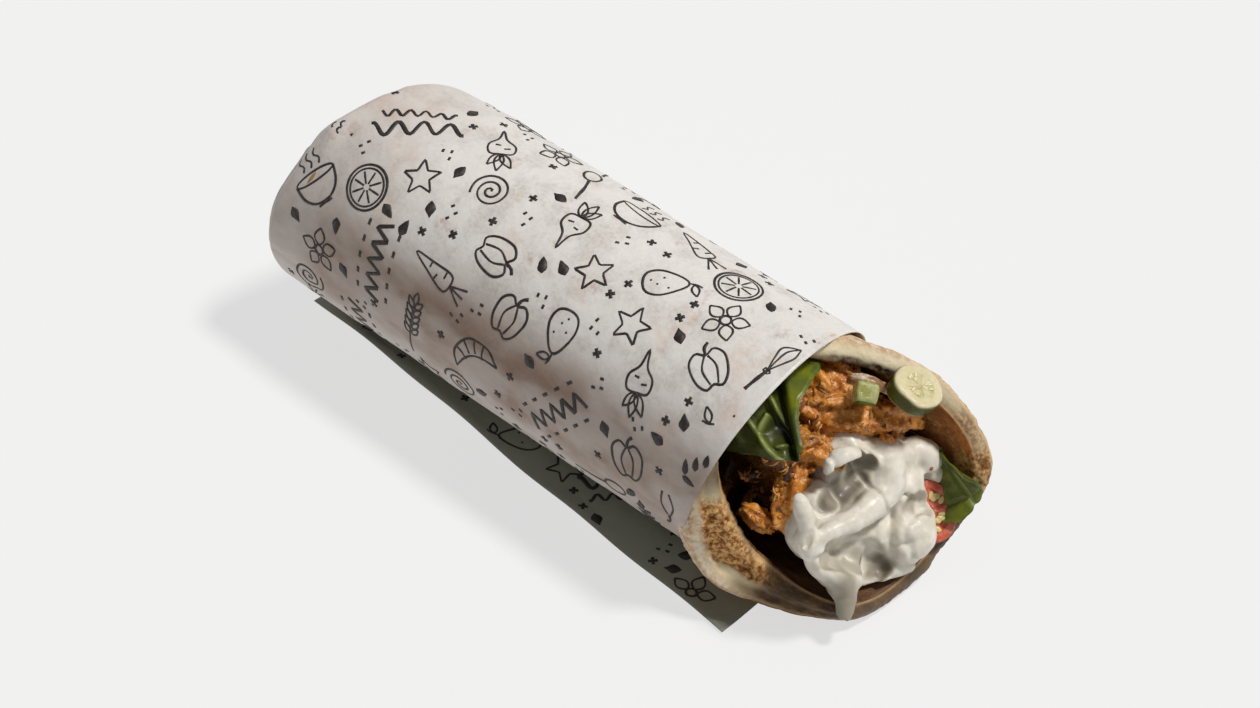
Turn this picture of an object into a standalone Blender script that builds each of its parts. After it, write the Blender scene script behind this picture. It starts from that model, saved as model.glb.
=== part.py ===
"""A gyro wrap lying on its side, open at its +X end.

A thick flatbread is rolled round shredded chicken and salad, with yoghurt sauce spooned
into its mouth. A sheet of wrapping paper goes round the roll, is folded shut over the -X
end, and leaves one free edge lying flat on the table on the -Y side.

Units are metres, +Z is up and the roll lies along X. The origin is in the middle of the
footprint, at table height. An angle round the roll is in degrees from the top, towards +Y.
"""

import math

import bmesh
import bpy
from mathutils import Matrix, Vector

MM = 0.001

# Driving dimensions
ROLL_RADIUS = 33 * MM  # outside of the paper
TABLE_CLEARANCE = 0.2 * MM  # the roll's lowest line stands inside the free sheet's thickness
AXIS_Z = ROLL_RADIUS + TABLE_CLEARANCE
PAPER_THICKNESS = 0.6 * MM
BREAD_THICKNESS = 5.5 * MM
LEAF_THICKNESS = 1.6 * MM
GAP = 0.3 * MM  # left between pieces that touch
SIDES = 48  # facets round the roll

# The paper's front edge: furthest forward on top, drawn back below
PAPER_EDGE_X = 57.5 * MM
PAPER_EDGE_DROP = 14 * MM

# The folded end is a plane, tilted so that it is longest low on the -Y side
END_X = -85 * MM
END_TILT = 9 * MM
END_TILT_ANGLE = 80
END_ROUNDING = 5 * MM

# The free sheet on the table: its outer edge leans away from the roll towards the mouth
FLAP_BACK_X = -90 * MM
FLAP_FRONT_X = 63 * MM
FLAP_BACK_Y = -20.8 * MM
FLAP_FRONT_Y = -34 * MM
FLAP_INNER_Y = 8 * MM
FLAP_CORNER_LEAD = 1.6 * MM
FLAP_CURL = 1.2 * MM  # how far its back corner has lifted off the table

# The bread's mouth, torn on a slant: angle, then x and radius of its outer lip and of its
# inner lip, in millimetres. It is open on top, and reaches furthest at the far side.
MOUTH = (
    (-165, 86.5, 32.1, 85.8, 27.1),
    (-150, 83.0, 32.3, 82.0, 27.6),
    (-140, 76.0, 34.2, 74.5, 27.4),
    (-131, 66.5, 36.1, 66.5, 26.0),
    (-122, 57.5, 37.4, 62.5, 24.8),
    (-110, 51.5, 34.3, 61.5, 24.6),
    (-92, 51.0, 32.5, 58.0, 24.6),
    (-66, 50.2, 32.1, 51.7, 25.8),
    (-40, 50.0, 32.1, 50.0, 26.6),
    (10, 51.8, 32.1, 51.8, 26.6),
    (30, 60.0, 33.0, 61.0, 27.3),
    (50, 73.5, 34.0, 74.0, 28.4),
    (72, 83.9, 33.2, 84.0, 28.0),
    (102, 91.8, 33.4, 90.5, 27.9),
    (130, 89.7, 32.8, 88.9, 27.6),
    (165, 88.5, 32.2, 87.8, 27.1),
)
LIP_CROWN = 1.2 * MM  # how far the lip's rounded edge stands out past both lips
LIP_RUN = 14 * MM  # length over which the flared inside narrows to the roll's bore

# The chicken's front face leans, and swells and sinks: height, then the middle and width
# in y and in z of each swelling, in millimetres
HEAP_X = 67
HEAP_SWELLS = (
    (6, -13, 5, 38, 8),  # ridge left of the sauce
    (-13, -22, 8, 28, 10),  # pocket behind the near lip
    (5, 7, 9, 50, 5),  # ridge above the sauce
    (-9, -4, 14, 6, 10),  # hollow under the sauce
)
VALLEY_DEPTH = 15  # along the bread's far wall
HEAP_LIMIT_X = 82

# The layers of salad leaf inside the bread: first and last angle, on the facets' angles
LEFT_LEAF = (-52.5, 15)
RIGHT_LEAF = (82.5, 112.5)
RIGHT_LEAF_FAN = 18  # degrees that its front edge spreads down over the tomato
LEAF_RADIUS = 25.2 * MM
LEAF_BACK_X = -70 * MM

# Pieces spooned or tucked into the mouth
SAUCE_LOBES = (  # centre and half sizes in millimetres
    ((78, 0, 27), (10, 15, 17)),
    ((72, 1.5, 42.5), (6, 6.5, 6.5)),
    ((79, 6, 41.5), (7, 8, 7.5)),
    ((81.5, 19.5, 33), (5, 4.5, 7)),
    ((83, 13, 29.5), (6, 6, 7)),
    ((82, -3, 33), (8, 9, 9)),
    ((85, 8, 18.5), (7, 8.5, 9)),
    ((74, -13, 36), (5, 5, 7.5)),
    ((78, -13, 23), (7, 8, 8)),
    ((83, -7, 14), (7, 8, 8)),
    ((85, -14.5, 9.5), (3, 3, 5)),
)
SAUCE_GRAIN = 1.6 * MM
TOMATO_RADIUS = 10 * MM
TOMATO_THICKNESS = 5 * MM
TOMATO_X = 80 * MM
TOMATO_ANGLE = 134
TOMATO_TILT = 21  # degrees that the slice's front edge leans out towards the bread
TOMATO_DEPTH = 21.4 * MM  # from the roll's axis to the middle of the slice
CUCUMBER_RADIUS = 6.3 * MM
CUCUMBER_THICKNESS = 4.2 * MM
CUCUMBER_CENTRE = Vector((76.5, 20.8, 53.4)) * MM
CUCUMBER_FACES = Vector((0.62, -0.22, 0.75))
CHUNK_SIZE = 6 * MM
CHUNK_CENTRE = Vector((68.5, 10.5, 54.2)) * MM
ONION_RADIUS = 1.1 * MM
ONION_ROUTE = ((63.5, 13.5, 54.2), (66, 15, 53), (70, 17.5, 50.8), (73, 19.3, 48.8))

COLOURS = {  # linear red, green, blue, then roughness
    "paper": ((0.74, 0.70, 0.66), 0.55),
    "flatbread": ((0.55, 0.36, 0.17), 0.85),
    "chicken": ((0.42, 0.14, 0.03), 0.45),
    "leaf": ((0.08, 0.17, 0.03), 0.45),
    "tomato": ((0.60, 0.08, 0.04), 0.30),
    "cucumber": ((0.50, 0.55, 0.25), 0.30),
    "onion": ((0.75, 0.70, 0.60), 0.35),
    "yoghurt_sauce": ((0.80, 0.78, 0.70), 0.35),
}

ANGLES = [i * 360 / SIDES - 180 for i in range(SIDES)]


def clear_scene():
    for obj in list(bpy.data.objects):
        bpy.data.objects.remove(obj, do_unlink=True)


def new_collection(name, hidden=False):
    collection = bpy.data.collections.new(name)
    bpy.context.scene.collection.children.link(collection)
    collection.hide_render = hidden
    return collection


def new_material(name):
    colour, roughness = COLOURS[name]
    material = bpy.data.materials.new(name)
    material.use_nodes = True
    shader = material.node_tree.nodes["Principled BSDF"]
    shader.inputs["Base Color"].default_value = (*colour, 1)
    shader.inputs["Roughness"].default_value = roughness
    shader.inputs["Metallic"].default_value = 0
    return material


def add_object(name, bm, collection, material=None):
    """A new object that holds the bmesh, in triangles with their faces turned outwards."""
    bmesh.ops.triangulate(bm, faces=bm.faces)
    bmesh.ops.recalc_face_normals(bm, faces=bm.faces)
    mesh = bpy.data.meshes.new(name)
    bm.to_mesh(mesh)
    bm.free()
    obj = bpy.data.objects.new(name, mesh)
    collection.objects.link(obj)
    if material:
        mesh.materials.append(material)
        mesh.shade_smooth()
        mesh.set_sharp_from_angle(angle=math.radians(35))
    return obj


def on_roll(x, angle, radius):
    """The point at this radius and angle round the roll's axis."""
    turn = math.radians(angle)
    return Vector((x, radius * math.sin(turn), AXIS_Z + radius * math.cos(turn)))


def bump(value, middle, width):
    """1 at the middle, falling smoothly to nothing past the width."""
    return math.exp(-(((value - middle) / width) ** 2))


def ease(t):
    t = min(max(t, 0), 1)
    return t * t * (3 - 2 * t)


def mix(a, b, t):
    return a + (b - a) * t


def mouth_at(angle):
    """The mouth's outer x and radius, then its inner x and radius, at an angle."""
    knots = [(k[0] + 360 * turn, *k[1:]) for turn in (-1, 0, 1) for k in MOUTH]
    after = next(i for i, knot in enumerate(knots) if knot[0] > angle)
    p0, p1, p2, p3 = knots[after - 2 : after + 2]
    span = p2[0] - p1[0]
    t = (angle - p1[0]) / span
    values = []
    for k in range(1, 5):
        slope1 = (p2[k] - p0[k]) / (p2[0] - p0[0]) * span
        slope2 = (p3[k] - p1[k]) / (p3[0] - p1[0]) * span
        rise = p2[k] - p1[k]
        cubic = slope1 + slope2 - 2 * rise
        square = 3 * rise - 2 * slope1 - slope2
        values.append((p1[k] + t * (slope1 + t * (square + t * cubic))) * MM)
    return values


def paper_edge(angle):
    return PAPER_EDGE_X - PAPER_EDGE_DROP * (1 - math.cos(math.radians(angle))) / 2


def end_plane(angle, radius, inset=0):
    """Where the folded end's plane is, drawn in by the thickness of what covers it."""
    turn = math.radians(angle - END_TILT_ANGLE)
    return END_X + END_TILT * radius / ROLL_RADIUS * math.cos(turn) + inset


def end_rings(radius, inset, rounding):
    """Rings from the middle of the closed end out round its edge to the side."""
    rings = []
    for share in (0.35, 0.7, 1):
        flat = (radius - rounding) * share
        rings.append([on_roll(end_plane(a, flat, inset), a, flat) for a in ANGLES])
    for step in (1, 2, 3):
        turn = math.radians(30 * step)
        out = radius - rounding * (1 - math.sin(turn))
        along = inset + rounding * (1 - math.cos(turn))
        rings.append([on_roll(end_plane(a, out, along), a, out) for a in ANGLES])
    return rings


def skin_rings(bm, rings, close_first, close_last):
    """Quads between rings of points, with a face across the first and last if asked."""
    rows = [[bm.verts.new(p) for p in ring] for ring in rings]
    for row, following in zip(rows, rows[1:]):
        for i, vertex in enumerate(row):
            j = (i + 1) % len(row)
            bm.faces.new((vertex, row[j], following[j], following[i]))
    if close_first:
        bm.faces.new(reversed(rows[0]))
    if close_last:
        bm.faces.new(rows[-1])


def skin_sheet(bm, rows):
    """Quads over an open grid of points."""
    grid = [[bm.verts.new(p) for p in row] for row in rows]
    for row, following in zip(grid, grid[1:]):
        for i in range(len(row) - 1):
            bm.faces.new((row[i], row[i + 1], following[i + 1], following[i]))


def add_solidify(obj, thickness, offset):
    modifier = obj.modifiers.new("Thickness", "SOLIDIFY")
    modifier.thickness = thickness
    modifier.offset = offset
    modifier.use_even_offset = True


def add_boolean(obj, other, operation):
    modifier = obj.modifiers.new(operation.title() + " " + other.name, "BOOLEAN")
    modifier.operation = operation
    modifier.object = other
    modifier.solver = "EXACT"


def make_cutter(obj, helpers):
    for collection in list(obj.users_collection):
        collection.objects.unlink(obj)
    helpers.objects.link(obj)
    obj.hide_render = True
    obj.display_type = "WIRE"
    return obj


def evaluated_copy(obj):
    bpy.context.view_layer.update()
    graph = bpy.context.evaluated_depsgraph_get()
    return bpy.data.meshes.new_from_object(obj.evaluated_get(graph))


def grown_cutter(obj, helpers, by=GAP):
    """A hidden copy of a piece, swollen by the gap that its neighbours keep."""
    bm = bmesh.new()
    bm.from_mesh(evaluated_copy(obj))
    bm.transform(obj.matrix_world)
    bmesh.ops.remove_doubles(bm, verts=bm.verts, dist=0.01 * MM)
    bm.normal_update()
    moves = [(v, v.normal * by * min(v.calc_shell_factor(), 2)) for v in bm.verts]
    for vertex, move in moves:
        vertex.co += move
    return make_cutter(add_object(obj.name + "_room", bm, helpers), helpers)


def islands(bm):
    """The separate bodies in a bmesh, as lists of vertices."""
    left = set(bm.verts)
    found = []
    while left:
        stack = [left.pop()]
        island = list(stack)
        while stack:
            for edge in stack.pop().link_edges:
                for vertex in edge.verts:
                    if vertex in left:
                        left.remove(vertex)
                        stack.append(vertex)
                        island.append(vertex)
        found.append(island)
    return found


def keep_main_body(obj):
    """Applies the modifiers and drops any crumb that a cut left apart from the piece."""
    mesh = evaluated_copy(obj)
    bm = bmesh.new()
    bm.from_mesh(mesh)
    bmesh.ops.remove_doubles(bm, verts=bm.verts, dist=0.02 * MM)
    bmesh.ops.dissolve_degenerate(bm, dist=0.02 * MM, edges=bm.edges)
    bodies = sorted(islands(bm), key=len)
    for crumb in bodies[:-1]:
        bmesh.ops.delete(bm, geom=crumb, context="VERTS")
    bm.to_mesh(mesh)
    bm.free()
    obj.modifiers.clear()
    obj.data = mesh


def make_paper(parts, helpers):
    """The sheet round the roll, folded shut at the back, with its free edge on the table."""
    front = [on_roll(paper_edge(a), a, ROLL_RADIUS) for a in ANGLES]
    middle = [on_roll(0, a, ROLL_RADIUS) for a in ANGLES]
    bm = bmesh.new()
    skin_rings(bm, [*end_rings(ROLL_RADIUS, 0, END_ROUNDING), middle, front], True, False)
    paper = add_object("paper", bm, parts, new_material("paper"))
    add_solidify(paper, PAPER_THICKNESS, -1)

    flap = bmesh.new()
    outline = (
        (FLAP_BACK_X, FLAP_BACK_Y, FLAP_CURL),
        (FLAP_FRONT_X, FLAP_FRONT_Y, 0),
        (FLAP_FRONT_X + FLAP_CORNER_LEAD, FLAP_INNER_Y, 0),
        (FLAP_BACK_X, FLAP_INNER_Y, 0),
    )
    back, front, inner_front, inner_back = [flap.verts.new(place) for place in outline]
    base = [flap.faces.new((back, front, inner_back)), flap.faces.new((front, inner_front, inner_back))]
    raised = bmesh.ops.extrude_face_region(flap, geom=base)["geom"]
    for item in raised:
        if isinstance(item, bmesh.types.BMVert):
            item.co.z += PAPER_THICKNESS
    free_sheet = add_object("free_sheet", flap, helpers)
    add_boolean(paper, make_cutter(free_sheet, helpers), "UNION")
    return paper


def make_flatbread(parts):
    """A cup of rolled bread, shut at the back, whose lip flares past the paper's edge."""
    outside = ROLL_RADIUS - PAPER_THICKNESS - GAP
    inside = outside - BREAD_THICKNESS
    skin = PAPER_THICKNESS + 3 * GAP
    lips = {a: mouth_at(a) for a in ANGLES}
    for a, lip in lips.items():
        if lip[0] < paper_edge(a) + 4 * MM:
            lip[1] = outside
    rings = end_rings(outside, skin, END_ROUNDING - skin)
    rings.append([on_roll(0, a, outside) for a in ANGLES])
    for share in (0, 0.4, 0.75, 1):
        ring = []
        for a in ANGLES:
            x, radius = lips[a][:2]
            start = min(paper_edge(a) + MM, x - 4 * MM)
            ring.append(on_roll(mix(start, x, share), a, mix(outside, radius, ease(share))))
        rings.append(ring)
    crown = []
    for a in ANGLES:
        x, radius, inner_x, inner_radius = lips[a]
        crown.append(on_roll((x + inner_x) / 2 + LIP_CROWN, a, (radius + inner_radius) / 2))
    rings.append(crown)
    for share in (0, 0.5, 1):
        ring = []
        for a in ANGLES:
            x, radius = lips[a][2:]
            ring.append(on_roll(x - LIP_RUN * share, a, mix(radius, inside, share)))
        rings.append(ring)
    rings.append([on_roll(0, a, inside) for a in ANGLES])
    back = skin + BREAD_THICKNESS
    rings += reversed(end_rings(inside, back, 2 * MM))
    bm = bmesh.new()
    skin_rings(bm, rings, True, True)
    return add_object("flatbread", bm, parts, new_material("flatbread"))


def heap_front(y, z):
    """The x of the chicken heap's uneven front face at a place in the mouth."""
    y, z = y / MM, z / MM
    x = HEAP_X + 0.55 * y - 0.35 * (z - 45)
    for height, middle_y, width_y, middle_z, width_z in HEAP_SWELLS:
        x += height * bump(y, middle_y, width_y) * bump(z, middle_z, width_z)
    x += 1.3 * math.sin(0.9 * y + 0.4 * z) + 1.1 * math.sin(0.7 * z - 0.5 * y)
    above = z - AXIS_Z / MM
    near_wall = ease((math.hypot(y, above) - 18) / 6)
    x -= VALLEY_DEPTH * near_wall * bump(math.degrees(math.atan2(y, above)), 45, 45)
    return min(x, HEAP_LIMIT_X) * MM


def beside_leaf(angle):
    return any(first - 8 < angle < last + 8 for first, last in (LEFT_LEAF, RIGHT_LEAF))


def make_chicken(parts):
    """The packed heap of shredded chicken that fills the bread, out to its uneven outline."""
    inside = ROLL_RADIUS - PAPER_THICKNESS - BREAD_THICKNESS - 3 * GAP
    under_leaf = LEAF_RADIUS - LEAF_THICKNESS / 2 - GAP
    back = PAPER_THICKNESS + BREAD_THICKNESS + 3 * GAP
    side = {a: under_leaf if beside_leaf(a) else inside for a in ANGLES}
    near_mouth = {a: min(side[a], mouth_at(a)[3] - 1.2 * MM) for a in ANGLES}
    rings = []
    for share in (0.5, 1):
        flat = {a: (side[a] - END_ROUNDING) * share for a in ANGLES}
        rings.append([on_roll(end_plane(a, flat[a], back), a, flat[a]) for a in ANGLES])
    rounded = back + END_ROUNDING
    rings.append([on_roll(end_plane(a, side[a], rounded), a, side[a]) for a in ANGLES])
    rings.append([on_roll(30 * MM, a, side[a]) for a in ANGLES])
    for share in (1, 0.93, 0.8, 0.64, 0.47, 0.3, 0.14):
        shoulder = 5 * MM if share == 1 else 0
        ring = []
        for a in ANGLES:
            point = on_roll(0, a, near_mouth[a] * share)
            point.x = heap_front(point.y, point.z) - shoulder
            ring.append(point)
        rings.append(ring)
    bm = bmesh.new()
    skin_rings(bm, rings, True, True)
    return add_object("chicken_filling", bm, parts, new_material("chicken"))


def leaf_angles(first, last):
    step = 360 / SIDES
    return [first + i * step for i in range(round((last - first) / step) + 1)]


def make_left_leaf(parts, material):
    """A layer of leaf along the top of the filling, whose front hangs over the chicken."""
    rows = []
    for a in leaf_angles(*LEFT_LEAF):
        hang = bump(a, -25, 19)
        front = mix(59, 61, hang) * MM
        row = [on_roll(LEAF_BACK_X, a, LEAF_RADIUS), on_roll(0, a, LEAF_RADIUS)]
        row.append(on_roll(front - 6 * MM, a, LEAF_RADIUS))
        for step in (1, 2, 3, 4):
            droop = hang * (2.6 * step - 0.8) * MM
            ripple = 0.5 * MM * math.sin(math.radians(9 * a)) * step / 4
            x = front + (-4 + 2 * step * mix(0.75, 1.2, hang)) * MM
            row.append(on_roll(x, a, LEAF_RADIUS - droop + ripple * hang))
        rows.append(row)
    bm = bmesh.new()
    skin_sheet(bm, rows)
    leaf = add_object("lettuce_left", bm, parts, material)
    add_solidify(leaf, LEAF_THICKNESS, 0)
    return leaf


def make_right_leaf(parts, material):
    """A layer of leaf down the far side, which stands a little out of the mouth."""
    rows = []
    for a in leaf_angles(*RIGHT_LEAF):
        reach = (84 + 7.5 * ease((a - 84) / 16)) * MM
        fan = RIGHT_LEAF_FAN * (a - RIGHT_LEAF[0]) / (RIGHT_LEAF[1] - RIGHT_LEAF[0])
        row = [on_roll(x, a, LEAF_RADIUS) for x in (LEAF_BACK_X, 0, 60 * MM)]
        for step in (1, 2, 3):
            x = mix(64 * MM, reach, step / 3)
            row.append(on_roll(x, a + fan * max(step - 1, 0) / 2, LEAF_RADIUS + 0.5 * MM * step))
        rows.append(row)
    bm = bmesh.new()
    skin_sheet(bm, rows)
    leaf = add_object("lettuce_right", bm, parts, material)
    add_solidify(leaf, LEAF_THICKNESS, 0)
    return leaf


def faces_way(direction):
    """The rotation that turns +Z to this direction."""
    return direction.to_track_quat("Z", "X").to_matrix().to_4x4()


def add_bevel(obj, width):
    modifier = obj.modifiers.new("Rounded edges", "BEVEL")
    modifier.width = width
    modifier.segments = 2
    modifier.limit_method = "ANGLE"


def make_slice(name, radius, thickness, place, parts, material):
    """A round slice with softened edges."""
    bm = bmesh.new()
    bmesh.ops.create_cone(
        bm, cap_ends=True, segments=24, radius1=radius, radius2=radius, depth=thickness
    )
    piece = add_object(name, bm, parts, material)
    piece.matrix_world = place
    add_bevel(piece, thickness / 5)
    return piece


def make_tomato(parts):
    """A slice of tomato standing along the far side, between the sauce and the leaf."""
    centre = on_roll(TOMATO_X, TOMATO_ANGLE, TOMATO_DEPTH)
    outwards = (centre - Vector((TOMATO_X, 0, AXIS_Z))).normalized()
    outwards.x = -math.tan(math.radians(TOMATO_TILT))
    place = Matrix.Translation(centre) @ faces_way(outwards)
    material = new_material("tomato")
    return make_slice("tomato_slice", TOMATO_RADIUS, TOMATO_THICKNESS, place, parts, material)


def make_cucumber(parts, material):
    """A slice of cucumber leaning on the far lip."""
    place = Matrix.Translation(CUCUMBER_CENTRE) @ faces_way(CUCUMBER_FACES)
    return make_slice("cucumber_slice", CUCUMBER_RADIUS, CUCUMBER_THICKNESS, place, parts, material)


def make_chunk(parts, material):
    """A small chunk of cucumber lying on the chicken."""
    bm = bmesh.new()
    bmesh.ops.create_cube(bm, size=CHUNK_SIZE)
    chunk = add_object("cucumber_chunk", bm, parts, material)
    chunk.matrix_world = Matrix.Translation(CHUNK_CENTRE) @ faces_way(Vector((0.5, -0.3, 0.8)))
    add_bevel(chunk, CHUNK_SIZE / 4)
    return chunk


def make_onion(parts):
    """A strip of onion inside the far lip."""
    curve = bpy.data.curves.new("onion_route", "CURVE")
    curve.dimensions = "3D"
    curve.bevel_depth = ONION_RADIUS
    curve.bevel_resolution = 2
    curve.use_fill_caps = True
    spline = curve.splines.new("POLY")
    spline.points.add(len(ONION_ROUTE) - 1)
    for point, place in zip(spline.points, ONION_ROUTE):
        point.co = (*[MM * c for c in place], 1)
    guide = bpy.data.objects.new("onion_route", curve)
    parts.objects.link(guide)
    bm = bmesh.new()
    bm.from_mesh(evaluated_copy(guide))
    bmesh.ops.remove_doubles(bm, verts=bm.verts, dist=0.01 * MM)
    bpy.data.objects.remove(guide)
    return add_object("onion_strip", bm, parts, new_material("onion"))


def make_sauce(parts):
    """The spoonful of yoghurt sauce, as soft lobes melted into one body with one drip."""
    bm = bmesh.new()
    for centre, half_sizes in SAUCE_LOBES:
        size = Matrix.Diagonal((*half_sizes, 1)) * MM
        size[3][3] = 1
        place = Matrix.Translation(Vector(centre) * MM) @ size
        bmesh.ops.create_icosphere(bm, subdivisions=3, radius=1, matrix=place)
    sauce = add_object("yogurt_sauce", bm, parts, new_material("yoghurt_sauce"))
    melt = sauce.modifiers.new("Melted together", "REMESH")
    melt.mode = "VOXEL"
    melt.voxel_size = SAUCE_GRAIN
    soften = sauce.modifiers.new("Softened", "SMOOTH")
    soften.factor = 0.5
    soften.iterations = 4
    thin_out = sauce.modifiers.new("Fewer faces", "DECIMATE")
    thin_out.ratio = 0.26
    keep_main_body(sauce)
    return sauce


def main():
    clear_scene()
    parts = new_collection("Gyro wrap")
    helpers = new_collection("Cutters", hidden=True)
    leaf_green = new_material("leaf")
    cucumber_green = new_material("cucumber")

    make_paper(parts, helpers)
    bread = make_flatbread(parts)
    chicken = make_chicken(parts)
    left_leaf = make_left_leaf(parts, leaf_green)
    right_leaf = make_right_leaf(parts, leaf_green)
    tomato = make_tomato(parts)
    cucumber = make_cucumber(parts, cucumber_green)
    chunk = make_chunk(parts, cucumber_green)
    onion = make_onion(parts)
    sauce = make_sauce(parts)

    pieces = (bread, left_leaf, right_leaf, tomato, cucumber, chunk, onion, sauce)
    room = {piece: grown_cutter(piece, helpers) for piece in pieces}
    makes_way_for = {
        right_leaf: (bread,),
        tomato: (bread, right_leaf),
        cucumber: (bread,),
        onion: (bread, cucumber, chunk),
        sauce: (bread, right_leaf, tomato, cucumber, onion),
        chicken: pieces,
    }
    for piece, others in makes_way_for.items():
        for other in others:
            add_boolean(piece, room[other], "DIFFERENCE")
        keep_main_body(piece)


if __name__ == "__main__":
    main()
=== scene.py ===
"""The looks of a gyro wrap that lies on its side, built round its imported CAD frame.

A thick toasted flatbread is rolled round shredded chicken, salad leaf, tomato, cucumber
and onion, with yoghurt sauce spooned into its open end, and the roll is wrapped in a sheet
of printed greaseproof paper whose free edge lies flat on the table.

Sizes inside the functions are in millimetres and become metres when a mesh is made. +X is
along the roll towards its open end and +Z is up. An angle round the roll is in degrees
from the top, towards +Y.
"""

import itertools
import math

import bpy
import numpy as np
from bpy.props import FloatProperty, PointerProperty, StringProperty
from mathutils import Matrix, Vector


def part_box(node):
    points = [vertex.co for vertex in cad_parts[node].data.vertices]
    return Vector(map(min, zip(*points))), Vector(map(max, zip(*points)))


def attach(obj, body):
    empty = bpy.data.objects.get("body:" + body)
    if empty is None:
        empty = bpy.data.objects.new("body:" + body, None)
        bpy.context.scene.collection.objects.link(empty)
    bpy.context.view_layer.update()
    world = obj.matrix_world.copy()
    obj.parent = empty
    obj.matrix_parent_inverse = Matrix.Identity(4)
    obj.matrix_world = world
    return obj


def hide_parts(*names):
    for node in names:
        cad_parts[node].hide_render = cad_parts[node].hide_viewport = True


bl_info = {
    "name": "Gyro Wrap",
    "version": (1, 0, 0),
    "blender": (4, 5, 0),
    "location": "3D Viewport > Sidebar > Gyro Wrap",
    "description": "Builds a gyro wrap in printed paper, piece by piece",
    "category": "Object",
}

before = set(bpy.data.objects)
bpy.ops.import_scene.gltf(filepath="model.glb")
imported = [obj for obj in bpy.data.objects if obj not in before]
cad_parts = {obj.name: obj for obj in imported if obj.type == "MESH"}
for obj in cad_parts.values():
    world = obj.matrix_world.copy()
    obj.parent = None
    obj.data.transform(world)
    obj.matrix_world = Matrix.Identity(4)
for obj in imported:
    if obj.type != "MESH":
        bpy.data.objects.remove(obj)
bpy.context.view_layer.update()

MM = 0.001
AXIS_Z = (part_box("paper")[1].z / MM + 0.2) / 2  # the roll stands 0.2 mm above the table
ROLL_RADIUS = AXIS_Z - 0.2
BODY = "root"

# Where the sheet of paper ends on the roll: furthest forward on top, drawn back below
PAPER_EDGE_X = 57.5
PAPER_EDGE_DROP = 14
# The folded end is a plane, tilted so that it reaches furthest on the -Y side
END_X = -85
END_TILT = 9
END_TILT_ANGLE = 80
# The free sheet on the table, as x and y of its corners
FLAP_BACK = (-90, -20.8)
FLAP_FRONT = (63, -34)
FLAP_INNER_Y = 8
FLAP_CORNER_LEAD = 1.6
# The bread's torn mouth: angle, then x and radius of its outer lip and of its inner lip
MOUTH = (
    (-165, 86.5, 32.1, 85.8, 27.1),
    (-150, 83.0, 32.3, 82.0, 27.6),
    (-140, 76.0, 34.2, 74.5, 27.4),
    (-131, 66.5, 36.1, 66.5, 26.0),
    (-122, 57.5, 37.4, 62.5, 24.8),
    (-110, 51.5, 34.3, 61.5, 24.6),
    (-92, 51.0, 32.5, 58.0, 24.6),
    (-66, 50.2, 32.1, 51.7, 25.8),
    (-40, 50.0, 32.1, 50.0, 26.6),
    (10, 51.8, 32.1, 51.8, 26.6),
    (30, 60.0, 33.0, 61.0, 27.3),
    (50, 73.5, 34.0, 74.0, 28.4),
    (72, 83.9, 33.2, 84.0, 28.0),
    (102, 91.8, 33.4, 90.5, 27.9),
    (130, 89.7, 32.8, 88.9, 27.6),
    (165, 88.5, 32.2, 87.8, 27.1),
)


# Numbers and shapes


def ease(t):
    t = np.clip(t, 0, 1)
    return t * t * (3 - 2 * t)


def mix(a, b, t):
    return a + (b - a) * t


def bump(value, middle, width):
    """1 at the middle, falling smoothly to nothing past the width."""
    return np.exp(-(((value - middle) / width) ** 2))


def on_roll(x, angle, radius):
    """The points at these angles and radii round the roll's axis."""
    turn = np.radians(angle)
    parts = np.broadcast_arrays(x, radius * np.sin(turn), AXIS_Z + radius * np.cos(turn))
    return np.stack(parts, -1).astype(float)


def lattice(cells, seed):
    """A repeatable number from 0 to 1 for each whole-numbered cell."""
    mask = 0xFFFFFFFF
    mixed = cells[..., 0] * 374761393 + cells[..., 1] * 668265263
    mixed = (mixed + cells[..., 2] * 974634777 + seed * 1274126177) & mask
    mixed = ((mixed ^ (mixed >> 13)) * 1274126177) & mask
    return ((mixed ^ (mixed >> 16)) & 0xFFFF) / 65535


def noise(points, size, seed=0):
    """Smooth noise from -1 to 1 whose lumps are about this many millimetres across."""
    scaled = np.asarray(points, float) / size + 1000
    low = np.floor(scaled).astype(np.int64)
    part = scaled - low
    part = part * part * (3 - 2 * part)
    total = 0
    for corner in itertools.product((0, 1), repeat=3):
        weight = np.prod(np.where(np.array(corner) == 1, part, 1 - part), axis=-1)
        total = total + weight * lattice(low + np.array(corner), seed)
    return total * 2 - 1


def pebbles(points, size, seed=0):
    """Distance to the nearest of points strewn one to a cell, as a share of the cell's
    size, and a random number from 0 to 1 that belongs to that point."""
    scaled = np.asarray(points, float) / size + 1000
    low = np.floor(scaled).astype(np.int64)
    nearest = np.full(scaled.shape[:-1], 9.0)
    number = np.zeros(scaled.shape[:-1])
    for step in itertools.product((-1, 0, 1), repeat=3):
        cell = low + np.array(step)
        middle = [lattice(cell, seed + k) for k in (1, 2, 3)]
        away = np.linalg.norm(cell + np.stack(middle, -1) - scaled, axis=-1)
        closer = away < nearest
        nearest = np.where(closer, away, nearest)
        number = np.where(closer, lattice(cell, seed + 4), number)
    return nearest, number


def smooth_line(knots, steps, closed=False):
    """A curve through the knots, with this many points to each span."""
    knots = np.asarray(knots, float)
    count = len(knots)
    spans = count if closed else count - 1
    points = []
    for i in range(spans):
        picks = [(i + k) % count if closed else min(max(i + k, 0), count - 1) for k in (-1, 0, 1, 2)]
        a, b, c, d = knots[picks]
        for t in np.arange(steps) / steps:
            cubic = -a + 3 * b - 3 * c + d
            square = 2 * a - 5 * b + 4 * c - d
            points.append((2 * b + t * (c - a + t * (square + t * cubic))) / 2)
    points.append(knots[0] if closed else knots[-1])
    return np.array(points)


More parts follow.
